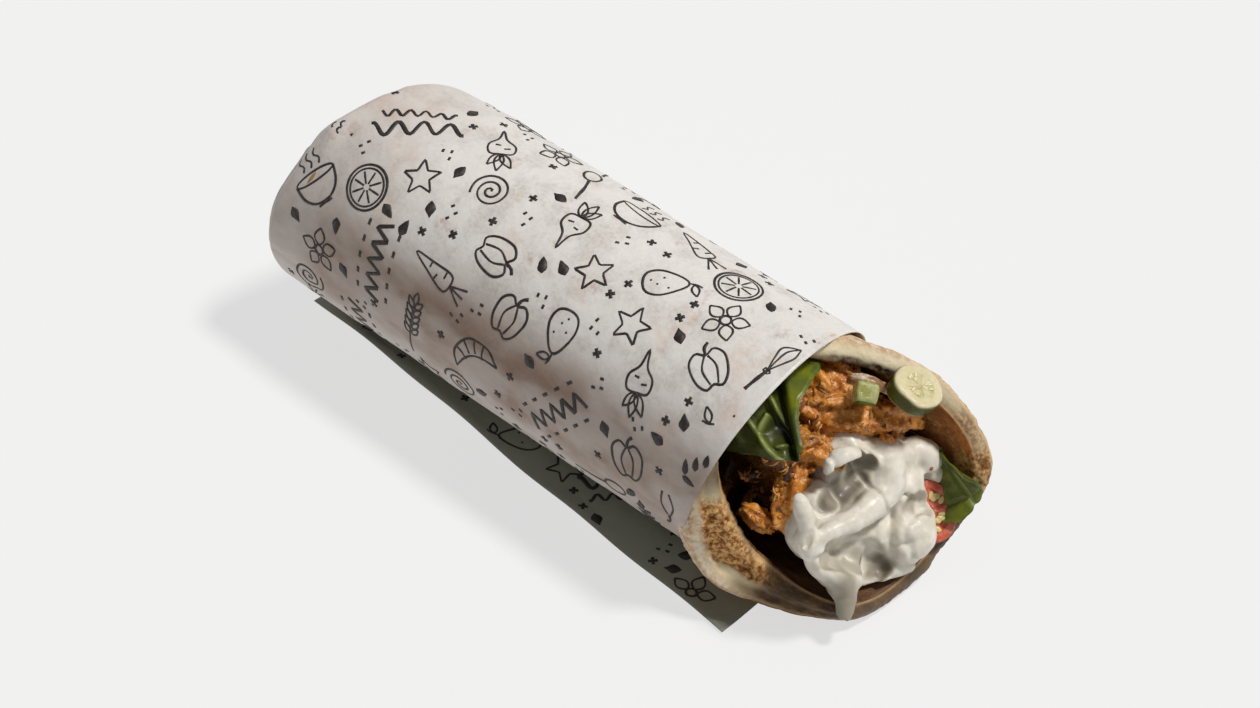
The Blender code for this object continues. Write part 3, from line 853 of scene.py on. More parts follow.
def greaseproof_paper(settings):
    """Greaseproof paper, calendered smooth: a soft sheen, and cloudy where grease and
    water have soaked in and let the food's colours show through."""
    material, tree, shader = new_material("greaseproof_paper")
    where = add_node(tree, "TexCoord", output="Object")
    x, y, z = add_node(tree, "SeparateXYZ", (where,)).node.outputs
    white, grey = linear(settings.white), linear(settings.grey)
    peach, brown = linear(settings.peach), linear(settings.brown)
    # browner and darker low on the near side: partly the filling's juice run down inside the sheet,
    # partly painted shade of the roll's shaded underside
    part = add_node(tree, "MapRange", (y, -14 * MM, -29 * MM), **SMOOTH)
    value = add_node(tree, "MapRange", (z, 61 * MM, 43 * MM), **SMOOTH)
    near = add_node(tree, "Math", (part, value), operation="MULTIPLY")
    part = add_node(tree, "MapRange", (z, 18 * MM, 36 * MM, 0.65, 1), **SMOOTH)
    near = add_node(tree, "Math", (near, part), operation="MULTIPLY")
    part = add_node(tree, "MapRange", (x, -84 * MM, -70 * MM, 0.3, 1), **SMOOTH)
    near = add_node(tree, "Math", (near, part), operation="MULTIPLY")
    rear = add_node(tree, "MapRange", (x, -45 * MM, -82 * MM), **SMOOTH)
    cloud = patches(tree, where, 9, 0.42, 0.68, 6, 0.68, 1)
    mask = add_node(tree, "Math", (cloud, 0.5), operation="MULTIPLY")
    colour = add_node(tree, "Mix", (mask, white, grey), **COLOURS)
    warm = patches(tree, where, 15, 0.54, 0.68, 6, 0.62, 7)
    mask = add_node(tree, "Math", (warm, 0.6), operation="MULTIPLY")
    colour = add_node(tree, "Mix", (mask, colour, peach), **COLOURS)
    # fine mottling, about 1 mm, where the sheet's fibres take up grease unevenly
    fleck = patches(tree, where, 1.1, 0.38, 0.66, 3, 0.75, 3)
    blush = patches(tree, where, 11, 0.60, 0.70, 5, 0.6, 12)
    part = add_node(tree, "Math", (fleck, 0.6, 0.25), operation="MULTIPLY_ADD")
    speckled = add_node(tree, "Math", (blush, part), operation="MULTIPLY")
    colour = add_node(tree, "Mix", (speckled, colour, linear("#B8937F")), **COLOURS)
    streak_at = add_node(tree, "Mapping", {"Vector": where, "Scale": (0.55, 1, 1)})
    run = patches(tree, streak_at, 12, 0.36, 0.62, 3, 0.55, 19)
    part = add_node(tree, "Math", (run, 0.4, 0.58), operation="MULTIPLY_ADD")
    # painted shade and juice stain: the brown is laid over the near side's lower part
    lower = add_node(tree, "Math", (near, part), operation="MULTIPLY")
    colour = add_node(tree, "Mix", (lower, colour, brown), **COLOURS)
    mask = add_node(tree, "Math", (rear, 0.35), operation="MULTIPLY")
    colour = add_node(tree, "Mix", (mask, colour, linear("#A9968C")), **COLOURS)
    part = add_node(tree, "Math", (cloud, 0.3, 0.1), operation="MULTIPLY_ADD")
    mottle = add_node(tree, "Math", (fleck, part), operation="MULTIPLY")
    colour = add_node(tree, "Mix", (mottle, colour, linear("#A9A39A")), **COLOURS)
    # painted shade: the free sheet on the table, in the roll's shadow, is darkened to grey-green
    free = add_node(tree, "MapRange", (z, 6.2 * MM, 3.4 * MM), **SMOOTH)
    colour = add_node(tree, "Mix", (free, colour, linear(settings.shadow)), **COLOURS)
    connect(tree, shader, {"Base Color": colour, "IOR": 1.47})
    rough = add_node(tree, "MapRange", (cloud, 0, 1, 0.5, 0.36), **SMOOTH)
    connect(tree, shader, {"Roughness": rough})
    # creases a few millimetres apart, and the fibres' tooth
    creases = add_node(
        tree, "TexNoise", {"Vector": where, "Scale": 1 / (4.5 * MM), "Detail": 4, "Roughness": 0.55}
    )
    tooth = add_node(tree, "TexNoise", {"Vector": where, "Scale": 1 / (0.9 * MM), "Detail": 2})
    part = add_node(tree, "Math", (tooth, 0.16), operation="MULTIPLY")
    height = add_node(tree, "Math", (creases, part), operation="ADD")
    relief = add_node(tree, "Bump", {"Height": height, "Strength": 0.6, "Distance": 0.45 * MM})
    connect(tree, shader, {"Normal": relief})
    return material


def printing_ink(settings):
    """Flexographic ink soaked into the paper: flat, and a little thin in places."""
    material, tree, shader = new_material("printing_ink")
    where = add_node(tree, "TexCoord", output="Object")
    thin = patches(tree, where, 1.6, 0.42, 0.75, 3, 0.6, 2)
    z = add_node(tree, "SeparateXYZ", (where,), "Z")
    mask = add_node(tree, "Math", (thin, 0.35), operation="MULTIPLY")
    colour = add_node(tree, "Mix", (mask, linear(settings.ink), linear("#6B625C")), **COLOURS)
    # painted shade: the print on the free sheet is darkened along with it
    free = add_node(tree, "MapRange", (z, 6.2 * MM, 3.4 * MM), **SMOOTH)
    colour = add_node(tree, "Mix", (free, colour, linear("#2E2E29")), **COLOURS)
    connect(tree, shader, {"Base Color": colour, "IOR": 1.45, "Roughness": 0.55})
    return material


class GYRO_OT_paper(bpy.types.Operator):
    """Wrap the roll in its sheet of greaseproof paper, folded shut at the back"""

    bl_idname = "gyro.paper"
    bl_label = "Paper"

    def execute(self, context):
        settings = context.scene.gyro_paper
        crumple = settings.crumple / MM
        thick = settings.thickness / MM
        tube = paper_grid(crumple)
        inner = tube - grid_normals(tube, wrap=True) * thick
        inner[..., 2] = np.maximum(inner[..., 2], LINING_LOW)
        flap = flap_grid()
        lower = flap.copy()
        lower[..., 2] = np.maximum(lower[..., 2] - thick, FLAP_LOW)
        wrapped = lined_tube(tube, inner)
        shape = join_shapes([wrapped, slab(flap[::-1], lower[::-1])])
        make_piece("paper_sheet", shape, greaseproof_paper(settings), ["paper"])
        return {"FINISHED"}


def lined_tube(outer, inner):
    """A thin cup: the outside from the middle of the shut end to the open edge, and back
    along the inside."""
    return sock(np.concatenate([outer[::-1], inner]))


class GYRO_OT_print(bpy.types.Operator):
    """Print kitchen doodles all over the paper, as thin strips of ink"""

    bl_idname = "gyro.print"
    bl_label = "Print"

    def execute(self, context):
        settings = context.scene.gyro_paper
        crumple = settings.crumple / MM
        line_width = settings.line / MM
        tube = paper_grid(crumple)
        flap = flap_grid()
        girth = 2 * math.pi * SHEET_RADIUS
        around = strew_doodles((-86, -girth / 2), (55, girth / 2), girth, 11)

        def on_side(spots):
            angle = (np.degrees(spots[:, 1] / SHEET_RADIUS) + 180) % 360 - 180
            front = spots[:, 0] < paper_edge(angle) - 1.2
            back = spots[:, 0] > end_plane(angle, ROLL_RADIUS) + 0.5
            return bool(np.all(front & back))

        strips = print_sheet(around, lambda s: tube_spot(tube, s), line_width, on_side)
        end = strew_doodles((-20, -20), (20, 20), 0, 5, 900)
        inside = SHEET_RADIUS - ROUNDING - 1
        strips += print_sheet(
            end, lambda s: cap_spot(tube, s), line_width, lambda s: bool(np.all(np.hypot(*s.T) < inside))
        )
        free = strew_doodles((-84, -30), (58, -6), 0, 23, 2500)

        def on_flap(spots):
            share = (spots[:, 0] - FLAP_BACK[0]) / (FLAP_FRONT[0] - FLAP_BACK[0])
            outer = mix(FLAP_BACK[1], FLAP_FRONT[1], share)
            return bool(np.all((spots[:, 1] > outer + 0.8) & (share > 0.01) & (share < 0.985)))

        strips += print_sheet(free, lambda s: flap_spot(flap, s), line_width, on_flap)
        make_piece("paper_print", join_shapes(strips), printing_ink(settings))
        return {"FINISHED"}


# Toasted flatbread


class BreadSettings(bpy.types.PropertyGroup):
    crumb: StringProperty(
        name="Crumb", description="Of the torn, untoasted edge", default="#F0E2BC"
    )
    crust: StringProperty(name="Crust", description="Of the baked outside", default="#C39A66")
    toast: StringProperty(name="Toast", description="Of the browned parts", default="#9A5E22")
    char: StringProperty(name="Char", description="Of the burnt spots", default="#2E1109")
    flour: StringProperty(
        name="Flour", description="Of the dusting of flour", default="#EADCC6"
    )
    blister: FloatProperty(
        name="Blisters", description="Height of the toasted grains",
        default=0.45 * MM, unit="LENGTH", precision=5,
    )


BREAD_COLUMNS = 480
HIDDEN_RADIUS = 31.0  # of the bread under the paper, which leaves room for the paper's waves
BORE_RADIUS = 26.6


def bread_rows(angle):
    """Rows of x and radius over the bread's skin, from the middle of its shut end out to
    the lip, over it and back down the bore. Each has its zone: how far it is over the lip,
    from 0 on the outside to 1 on the inside."""
    out_x, out_r, in_x, in_r = mouth_at(angle)
    wide = np.ones_like(angle)
    rows = []
    for share in (0.02, 0.35, 0.7, 1):
        flat = (HIDDEN_RADIUS - 5) * share
        rows.append((end_plane(angle, flat) + 2, flat * wide, 0))
    for turn in (30, 60, 90):
        sine, cosine = math.sin(math.radians(turn)), math.cos(math.radians(turn))
        radius = HIDDEN_RADIUS - 5 * (1 - sine)
        rows.append((end_plane(angle, radius) + 2 + 5 * (1 - cosine), radius * wide, 0))
    shut = end_plane(angle, HIDDEN_RADIUS) + 7
    start = np.minimum(paper_edge(angle), out_x - 4) - 9
    for share in np.linspace(0, 1, 12)[1:]:
        rows.append((mix(shut, start, share), HIDDEN_RADIUS * wide, 0))
    for share in np.linspace(0, 1, 56)[1:]:
        opened = ease(share * 1.25 - 0.25)
        rows.append((mix(start, out_x, share), mix(HIDDEN_RADIUS, out_r, opened), 0))
    fold = bump(angle, -108, 26)
    for share in np.linspace(0, 1, 37)[1:]:
        valley = 0.36 + 0.05 * np.sin(angle / 9)
        bulge = 1.3 * np.sin(math.pi * share) - fold * (
            1.5 * bump(share, valley, 0.1) - 1.1 * bump(share, 0.66, 0.2)
        )
        rows.append((mix(out_x, in_x, share) + bulge, mix(out_r, in_r, share), share))
    deep = np.minimum(in_x - 26, 42)
    for share in np.linspace(0, 1, 60)[1:]:
        x = mix(in_x, deep, share)
        rows.append((x, mix(in_r, BORE_RADIUS, ease((in_x - x) / 14)), 1))
    bottom = end_plane(angle, BORE_RADIUS) + 9
    for share in np.linspace(0, 1, 9)[1:]:
        rows.append((mix(deep, bottom, share), BORE_RADIUS * wide, 1))
    for share in (0.7, 0.35, 0.02):
        rows.append((end_plane(angle, BORE_RADIUS * share) + 8, BORE_RADIUS * share * wide, 1))
    x, radius = (np.array([row[k] for row in rows]) for k in (0, 1))
    over = np.array([row[2] for row in rows])[:, None] + 0 * x
    return x, radius, over


def bread_zones(points, x, angle, over, in_x):
    """How toasted, burnt, floury and soaked each point of the skin is, from 0 to 1. The last
    mark is partly juice soaked in low in the roll and partly painted shade: under the paper's
    edge, on the low lips and on the bore's near side.
    """
    lip = np.sin(np.pi * np.clip(over, 0, 1))
    inside = (over > 0.97).astype(float)
    outside = (over < 0.03).astype(float)
    depth = np.maximum(in_x - x, 0) * inside
    near = ease((angle + 139) / 6) * ease((-77 - angle) / 7)
    patch = ease(noise(points, 9, 41) * 1.3 + 0.55)
    toast = near * np.clip(lip * 1.6, 0, 1) * ease(
        (over - mix(0.1, 0.34, ease((-104 - angle) / 24)) + 0.12 * noise(points, 5, 40)) / 0.16
    )
    right = ease((angle - 58) / 14) * ease((128 - angle) / 14)
    toast = np.maximum(
        toast, right * np.clip(lip * 2, 0, 1) * ease((over - 0.05) / 0.3) * (0.55 + 0.45 * patch)
    )
    toast = np.maximum(toast, inside * bump(angle, 84, 34) * patch * ease(1.2 - depth / 22))
    toast = np.maximum(toast, inside * near * ease(1 - depth / 8) * 0.5)
    toast = np.maximum(toast, outside * ease(noise(points, 15, 43) * 2 - 0.3) * 0.7)
    char = bump(angle, 34, 15) * ease((over - 0.5) / 0.25) * ease(1.15 - depth / 5.5) * 1.15
    char = char * ease(noise(points, 4.5, 47) + 0.9)
    speck = ease(noise(points, 6, 49) * 3 - 1.35) * (0.4 * lip + 0.35 * inside + 0.3 * outside)
    char = np.maximum(char, speck * (1 - near))
    flour = outside * bump(angle, -119, 22) * 0.95 + bump(angle, 38, 30) * lip * 0.35
    flour = np.maximum(flour, near * ease((0.3 - over + 0.1 * noise(points, 4, 42)) / 0.2))
    flour = np.maximum(flour, outside * ease(noise(points, 20, 53) * 1.4 + 0.1) * 0.6)
    flour = np.maximum(flour, bump(angle, 42, 26) * np.clip(1 - over, 0, 1))
    # soaked bread and painted shade: juice soaked into the bottom of the roll, and painted shade on the
    # low lips, on the bore's near side and under the paper's edge, with the flour taken off there
    under = np.maximum(bump(angle, 178, 62), bump(angle, -182, 62))
    soak_and_shade = under * np.maximum(inside, lip * 0.5) + 0.5 * under * outside
    soak_and_shade = np.maximum(soak_and_shade, 0.75 * bump(angle, 148, 30) * np.maximum(lip, inside))
    low = ease((-125 - angle) / 8) + ease((angle - 108) / 16)
    soak_and_shade = np.maximum(soak_and_shade, low * np.maximum(np.clip(lip * 2, 0, 1), inside))
    soak_and_shade = np.maximum(soak_and_shade, 0.9 * low * outside * ease((x - 60) / 8))
    soak_and_shade = np.maximum(soak_and_shade, inside * bump(angle, -112, 44))
    soak_and_shade = np.maximum(soak_and_shade, 0.9 * bump(angle, -68, 14) * np.maximum(np.clip(lip * 2, 0, 1), outside))
    toast = np.maximum(toast, 0.6 * low * np.clip(lip * 2, 0, 1) * patch)
    flour = flour * (1 - 0.85 * low)
    soak_and_shade = np.maximum(soak_and_shade, 0.42 * ease((angle - 40) / 20) * np.clip(lip * 2, 0, 1) * ease(over / 0.3))
    return toast, char, flour, soak_and_shade


def bread_shape(blister):
    angle = np.arange(BREAD_COLUMNS) * 360 / BREAD_COLUMNS - 180
    x, radius, over = bread_rows(angle)
    angle = np.broadcast_to(angle, x.shape)
    in_x = np.broadcast_to(mouth_at(angle[0])[2], x.shape)
    points = on_roll(x, angle, radius)
    toast, char, flour, soak_and_shade = bread_zones(points, x, angle, over, in_x)
    normal = -grid_normals(points, wrap=True)
    shown = ease((x - paper_edge(angle) + 9) / 6)
    lumps = 0.55 * noise(points, 13, 61) + 0.3 * noise(points, 5.5, 62)
    near, number = pebbles(points, 1.9, 63)
    small, _ = pebbles(points, 1.15, 66)
    grains = toast * (0.55 * (0.5 - near) * (0.3 + number) + 0.6 * (0.5 - small)) * blister / 0.45
    bubbles, size = pebbles(points, 7, 69)
    bubbles = np.maximum(0.42 - bubbles, 0) * 2.2 * (size > 0.45) * (1 - toast)
    pores = 0.1 * noise(points, 1.1, 71) + 0.12 * noise(points, 2.3, 72)
    lift = (lumps + grains + bubbles + pores) * shown
    # the outside may not grow past the lips, nor the lips past the paper
    lift = np.minimum(lift, 0.3 + 0.5 * over)
    points = points + normal * lift[..., None]
    points[..., 2] = np.maximum(points[..., 2], 0.7)
    crest = np.clip(0.5 + grains * 1.1 + 1.5 * pores, 0, 1)
    marks = {
        "toast": toast,
        "char": char,
        "flour": flour,
        "soak_and_shade": soak_and_shade,
        "crest": crest,
        "lip": np.sin(np.pi * np.clip(over, 0, 1)),
        "bore": (over > 0.97) * 1.0,
    }
    ends = {name: np.concatenate([values.ravel(), [0, 0]]) for name, values in marks.items()}
    return sock(points), ends


def toasted_flatbread(settings):
    """Flatbread baked on a hot stone and toasted: a pale torn edge, a tan crust dusted with
    flour, and grainy golden-brown patches with burnt spots."""
    material, tree, shader = new_material("toasted_flatbread")
    where = add_node(tree, "TexCoord", output="Object")
    toast, char, flour, soak_and_shade, crest, lip, bore = (
        add_node(tree, "Attribute", output="Fac", attribute_name=name)
        for name in ("toast", "char", "flour", "soak_and_shade", "crest", "lip", "bore")
    )
    crumb, crust = linear(settings.crumb), linear(settings.crust)
    browned, burnt = linear(settings.toast), linear(settings.char)
    blotch = patches(tree, where, 8, 0.38, 0.68, 4, 0.6, 1)
    colour = add_node(tree, "Mix", (blotch, crust, linear("#AD7F4A")), **COLOURS)
    colour = add_node(tree, "Mix", (lip, colour, crumb), **COLOURS)
    mask = patches(tree, where, 5, 0.35, 0.65, 4, 0.6, 4)
    golden = add_node(tree, "Mix", (mask, linear("#A86018"), linear("#743A08")), **COLOURS)
    mask = add_node(tree, "Math", (bore, 0.9), operation="MULTIPLY")
    colour = add_node(tree, "Mix", (mask, colour, golden), **COLOURS)
    # painted highlight on the grains' tops and painted shade in the gaps between them
    speckle = patches(tree, where, 0.9, 0.36, 0.66, 4, 0.7, 6)
    part = add_node(tree, "Math", (speckle, 0.4), operation="MULTIPLY")
    height = add_node(tree, "Math", (crest, 0.6, part), operation="MULTIPLY_ADD")
    mask = patches(tree, where, 6, 0.42, 0.6, 3, 0.6, 11)
    browned = add_node(tree, "Mix", (mask, browned, linear("#8E5420")), **COLOURS)
    mask = add_node(tree, "MapRange", (height, 0.3, 0.72), **SMOOTH)
    grainy = add_node(tree, "Mix", (mask, browned, linear("#E6B877")), **COLOURS)
    mask = add_node(tree, "MapRange", (height, 0.36, 0.12), **SMOOTH)
    grainy = add_node(tree, "Mix", (mask, grainy, linear("#5E3310")), **COLOURS)
    part = patches(tree, where, 7, 0.2, 0.42, 3, 0.6, 8)
    mask = add_node(tree, "Math", (toast, part), operation="MULTIPLY")
    colour = add_node(tree, "Mix", (mask, colour, grainy), **COLOURS)
    dust = patches(tree, where, 1.8, 0.40, 0.62, 4, 0.65, 9)
    part = add_node(tree, "Math", (dust, 0.6, 0.2), operation="MULTIPLY_ADD")
    dusted = add_node(tree, "Math", (flour, part), operation="MULTIPLY")
    colour = add_node(tree, "Mix", (dusted, colour, linear(settings.flour)), **COLOURS)
    # soaked bread and painted shade: dark brown where the bread is wet and where its lips and bore lie
    # in shadow
    mask = patches(tree, where, 7, 0.35, 0.65, 3, 0.6, 14)
    wet = add_node(tree, "Mix", (mask, linear("#5F4427"), linear("#3C2813")), **COLOURS)
    mask = add_node(tree, "Math", (soak_and_shade, 0.93), operation="MULTIPLY")
    colour = add_node(tree, "Mix", (mask, colour, wet), **COLOURS)
    scorch = patches(tree, where, 2.2, 0.30, 0.62, 4, 0.65, 21)
    part = add_node(tree, "Math", (scorch, 0.5, 0.55), operation="MULTIPLY_ADD")
    burn = add_node(tree, "Math", (char, part), operation="MULTIPLY")
    colour = add_node(tree, "Mix", (burn, colour, burnt), **COLOURS)
    connect(tree, shader, {
        "Base Color": colour, "IOR": 1.4,
        "Roughness": add_node(tree, "MapRange", (soak_and_shade, 0, 1, 0.82, 0.45), **SMOOTH),
        "Subsurface Weight": 0.06, "Subsurface Radius": (1.2 * MM, 0.6 * MM, 0.3 * MM),
        "Subsurface Scale": 1,
    })
    grit = add_node(
        tree, "TexNoise", {"Vector": where, "Scale": 1 / (0.8 * MM), "Detail": 4, "Roughness": 0.65}
    )
    relief = add_node(tree, "Bump", {"Height": grit, "Strength": 0.6, "Distance": 0.4 * MM})
    connect(tree, shader, {"Normal": relief})
    return material


class GYRO_OT_bread(bpy.types.Operator):
    """Roll the flatbread, with its torn and toasted mouth"""

    bl_idname = "gyro.bread"
    bl_label = "Flatbread"

    def execute(self, context):
        settings = context.scene.gyro_bread
        shape, marks = bread_shape(settings.blister / MM)
        make_piece(
            "toasted_flatbread", shape, toasted_flatbread(settings), ["flatbread"], marks
        )
        return {"FINISHED"}


# Shapes worked out as the skin of a body of lumps and strands


def melt(a, b, softness):
    """The larger of two depths, rounded off where they meet."""
    near = np.maximum(softness - np.abs(a - b), 0) / softness
    return np.maximum(a, b) + near * near * softness / 4


def lump_depth(points, centre, sizes):
    """How deep each point is inside an egg shape, in millimetres."""
    reach = np.linalg.norm((points - np.array(centre)) / np.array(sizes), axis=-1)
    return (1 - reach) * min(sizes)


def strand_depth(points, knots, fibres=0):
    """How deep each point is inside a rope of changing thickness through the knots, each
    its x, y, z and radius. Its skin may have this many fibres round it, end to end."""
    route = smooth_line(knots, 3)
    ends = route[-1, :3] - route[0, :3]
    side = np.cross(ends, (0.3, 0.2, 1))
    side /= max(np.linalg.norm(side), 1e-9)
    other = np.cross(ends / max(np.linalg.norm(ends), 1e-9), side)
    depth = np.full(points.shape[:-1], -99.0)
    for a, b in zip(route, route[1:]):
        way = b[:3] - a[:3]
        share = ((points - a[:3]) @ way) / max(way @ way, 1e-9)
        share = np.clip(share, 0, 1)
        gap = points - a[:3] - share[..., None] * way
        radius = mix(a[3], b[3], share)
        deep = radius - np.linalg.norm(gap, axis=-1)
        if fibres:
            around = np.arctan2(gap @ side, gap @ other)
            deep = deep + 0.16 * radius * np.cos(fibres * around + 7 * knots[0][3])
        depth = np.maximum(depth, deep)
    return depth


class Block:
    """A grid of points that holds the depth of a body being built up."""

    def __init__(self, low, high, cell):
        self.low, self.cell = np.array(low, float), cell
        axes = [np.arange(a, b + cell, cell) for a, b in zip(low, high)]
        self.points = np.stack(np.meshgrid(*axes, indexing="ij"), -1)
        self.depth = np.full(self.points.shape[:-1], -99.0)
        self.tone = np.zeros(self.depth.shape)

    def window(self, low, high):
        """The part of the grid between two corners."""
        first = np.floor((np.array(low) - self.low) / self.cell).astype(int)
        last = np.ceil((np.array(high) - self.low) / self.cell).astype(int) + 1
        limits = zip(np.maximum(first, 0), last, self.depth.shape)
        return tuple(slice(a, max(min(b, size), a)) for a, b, size in limits)

    def add(self, maker, low, high, softness=0.0, cut=False, tone=0.0):
        """Joins a shape to the body, or takes it away. Where it shows, it has this tone."""
        part = self.window(low, high)
        if 0 in self.depth[part].shape:
            return
        depth = maker(self.points[part])
        self.tone[part] = np.where(depth > self.depth[part], tone, self.tone[part])
        if cut:
            self.depth[part] = -melt(-self.depth[part], depth, max(softness, 0.01))
        elif softness:
            self.depth[part] = melt(self.depth[part], depth, softness)
        else:
            self.depth[part] = np.maximum(self.depth[part], depth)

    def add_strand(self, knots, softness=0.0, fibres=0, tone=0.0, cut=False):
        knots = np.array(knots, float)
        room = knots[:, 3].max() * 1.5 + 3
        low, high = knots[:, :3].min(0) - room, knots[:, :3].max(0) + room
        self.add(lambda p: strand_depth(p, knots, fibres), low, high, softness, cut, tone)

    def add_lump(self, centre, sizes, softness=0.0, cut=False):
        room = np.array(sizes) * 1.2 + 2.5
        low, high = np.array(centre) - room, np.array(centre) + room
        self.add(lambda p: lump_depth(p, centre, sizes), low, high, softness, cut)

    def at(self, values, points):
        """The values of the grid's points nearest to these."""
        near = np.rint((points - self.low) / self.cell).astype(int)
        near = np.clip(near, 0, np.array(self.depth.shape) - 1)
        return values[tuple(near.T)]

    def skin(self):
        """The points and faces of the body's surface: one point to each cell that the
        surface crosses, in the middle of its crossings."""
        depth = np.pad(self.depth, 1, constant_values=-9.0)
        inside = depth > 0
        size = np.array(depth.shape)
        cells = tuple(size - 1)
        total, count = np.zeros((*cells, 3)), np.zeros(cells)
        ranges = [slice(0, -1), slice(1, None)]
        for axis in range(3):
            others = [k for k in range(3) if k != axis]
            near = [slice(None)] * 3
            far = [slice(None)] * 3
            near[axis], far[axis] = ranges
            a, b = depth[tuple(near)], depth[tuple(far)]
            crossed = (a > 0) != (b > 0)
            share = np.where(crossed, a / np.where(crossed, a - b, 1), 0)
            for one, two in itertools.product((0, 1), repeat=2):
                pick = [slice(None)] * 3
                pick[others[0]], pick[others[1]] = ranges[one], ranges[two]
                hit, where = crossed[tuple(pick)], share[tuple(pick)]
                offset = np.zeros((*cells, 3))
                offset[..., axis] = where
                offset[..., others[0]] = one
                offset[..., others[1]] = two
                total += offset * hit[..., None]
                count += hit
        used = count > 0
        index = np.full(cells, -1)
        index[used] = np.arange(used.sum())
        corners = np.argwhere(used)
        points = (corners + total[used] / count[used][:, None] - 1) * self.cell + self.low
        faces = []
        for axis in range(3):
            u, v = [k for k in range(3) if k != axis]
            near = [slice(1, -1)] * 3
            far = [slice(1, -1)] * 3
            near[axis], far[axis] = ranges
            here, there = inside[tuple(near)], inside[tuple(far)]
            spots = np.argwhere(here != there)
            turned_over = here[tuple(spots.T)]
            spots[:, [u, v]] += 1
            around = []
            for du, dv in ((-1, -1), (0, -1), (0, 0), (-1, 0)):
                cell = spots.copy()
                cell[:, u] += du
                cell[:, v] += dv
                around.append(index[tuple(cell.T)])
            quads = np.stack(around, -1)
            flip = turned_over if axis != 1 else ~turned_over
            quads[~flip] = quads[~flip][:, ::-1]
            faces.append(quads)
        return points, np.concatenate(faces).tolist()


def point_normals(points, faces):
    """The way that the skin faces at each point."""
    faces = np.array(faces)
    corners = points[faces]
    across = np.cross(corners[:, 2] - corners[:, 0], corners[:, 3] - corners[:, 1])
    normals = np.zeros(points.shape)
    for k in range(4):
        np.add.at(normals, faces[:, k], across)
    return normals / np.maximum(np.linalg.norm(normals, axis=1), 1e-9)[:, None]


# Shredded chicken


class ChickenSettings(bpy.types.PropertyGroup):
    meat: StringProperty(name="Meat", description="Of the seasoned shreds", default="#DC8E32")
    # also used as painted highlight on the crests of the meat's granules
    light: StringProperty(name="Light", description="Of their paler fibres", default="#F4C27C")
    # also used as painted shade in the gaps between the granules
    dark: StringProperty(name="Dark", description="Of their browned sides", default="#4A1E08")
    grain: FloatProperty(
        name="Grain", description="Size of the finest shape of the meat",
        default=0.475 * MM, unit="LENGTH", precision=5,
    )


# The heap's front face leans, and swells and sinks: height, then the middle and width in y
# and in z of each swelling
HEAP_X = 64.5
HEAP_SWELLS = (
    (6, -13, 5, 38, 8),
    (-16, -21, 8, 32, 12),
    (-13, -13, 8, 16, 9),
    (7, 7, 9, 50, 5),
    (-9, -4, 14, 6, 10),
)
HEAP_RADIUS = 25.4
SMALL_SHREDS = 170
FIBRES = 320  # torn off the shreds
# The shreds that show best, as x, y, z and radius along each
BIG_SHREDS = (
    ((50, 12, 47.5, 4.2), (55, 14.5, 50.6, 4.6), (59.5, 13.5, 50, 4.0), (62, 11.5, 48, 2.6)),
    ((51, 9, 50.5, 3.0), (55, 9.5, 52, 3.4), (58.5, 8, 51, 2.4)),
    ((53, 4.5, 47.5, 3.4), (57.5, 7.5, 46.6, 3.8), (61.5, 10.5, 44.2, 3.0), (63.5, 12, 42.5, 1.8)),
    ((53.5, 1.2, 47, 2.4), (57.5, 3.5, 46, 3.0), (60.5, 5, 43.6, 2.2)),
    (
        (63, 5.0, 44.6, 2.4), (67, 9.0, 44.6, 3.2), (70, 13, 43.6, 3.2), (72, 17, 41.2, 3.0),
        (73.5, 20.5, 38.6, 1.8),
    ),
    ((66.5, 11.5, 46.2, 2.4), (70, 16, 44.2, 2.8), (73, 21, 40.5, 2.6), (75.2, 24, 37.2, 1.4)),
    ((66, 17.5, 43, 2.2), (69, 21.5, 39, 2.4), (71, 24, 35.5, 1.8)),
    ((57, 0.5, 41, 2.4), (60, -3, 38.5, 3.0), (62, -6, 35, 2.6)),
    ((60.5, -4.5, 37.5, 2.6), (63, -8, 34, 3.2), (65.2, -11, 29.5, 3.2), (67, -13.4, 25, 2.2)),
    ((59.5, -7.5, 33, 2.4), (62, -11.5, 29.5, 2.8), (64, -14.5, 25.5, 2.0)),
    ((59, -3.5, 40.5, 3.0), (64, -1, 39.8, 3.0), (68.5, 1.2, 37.5, 2.0)),
    ((55.5, -17, 26, 1.6), (58.6, -16.4, 24.6, 2.7), (61, -14.8, 22.2, 1.9)),
    ((58, 5.5, 45.4, 2.4), (61, 9, 44.8, 3.2), (64, 13, 44, 2.4)),
    ((57, 5.2, 48.4, 2.6), (60, 8.2, 47.8, 3.6), (62.8, 12.2, 46.6, 3.0), (64, 15, 45.5, 1.8)),
    ((57, 8.5, 42, 2.4), (60.5, 5.5, 41.5, 2.6), (63.5, 3.0, 40.5, 2.0)),
)


def pocket(y, z):
    """The empty pocket between the heap and the bread's near lip, from 0 to 1."""
    return ease((-7 - y) / 6) * ease((z - 17) / 9)


def heap_front(y, z):
    """The x of the chicken heap's uneven front face at a place in the mouth."""
    x = HEAP_X + 0.55 * y - 0.35 * (z - 45)
    for height, middle_y, width_y, middle_z, width_z in HEAP_SWELLS:
        x = x + height * bump(y, middle_y, width_y) * bump(z, middle_z, width_z)
    x = x - 22 * pocket(y, z)
    above = z - AXIS_Z
    near_wall = ease((np.hypot(y, above) - 18) / 6)
    return np.minimum(x - 15 * near_wall * bump(np.degrees(np.arctan2(y, above)), 45, 45), 80)


def knot_angle(knot):
    """The angle of a knot round the roll."""
    return math.degrees(math.atan2(knot[1], knot[2] - AXIS_Z))


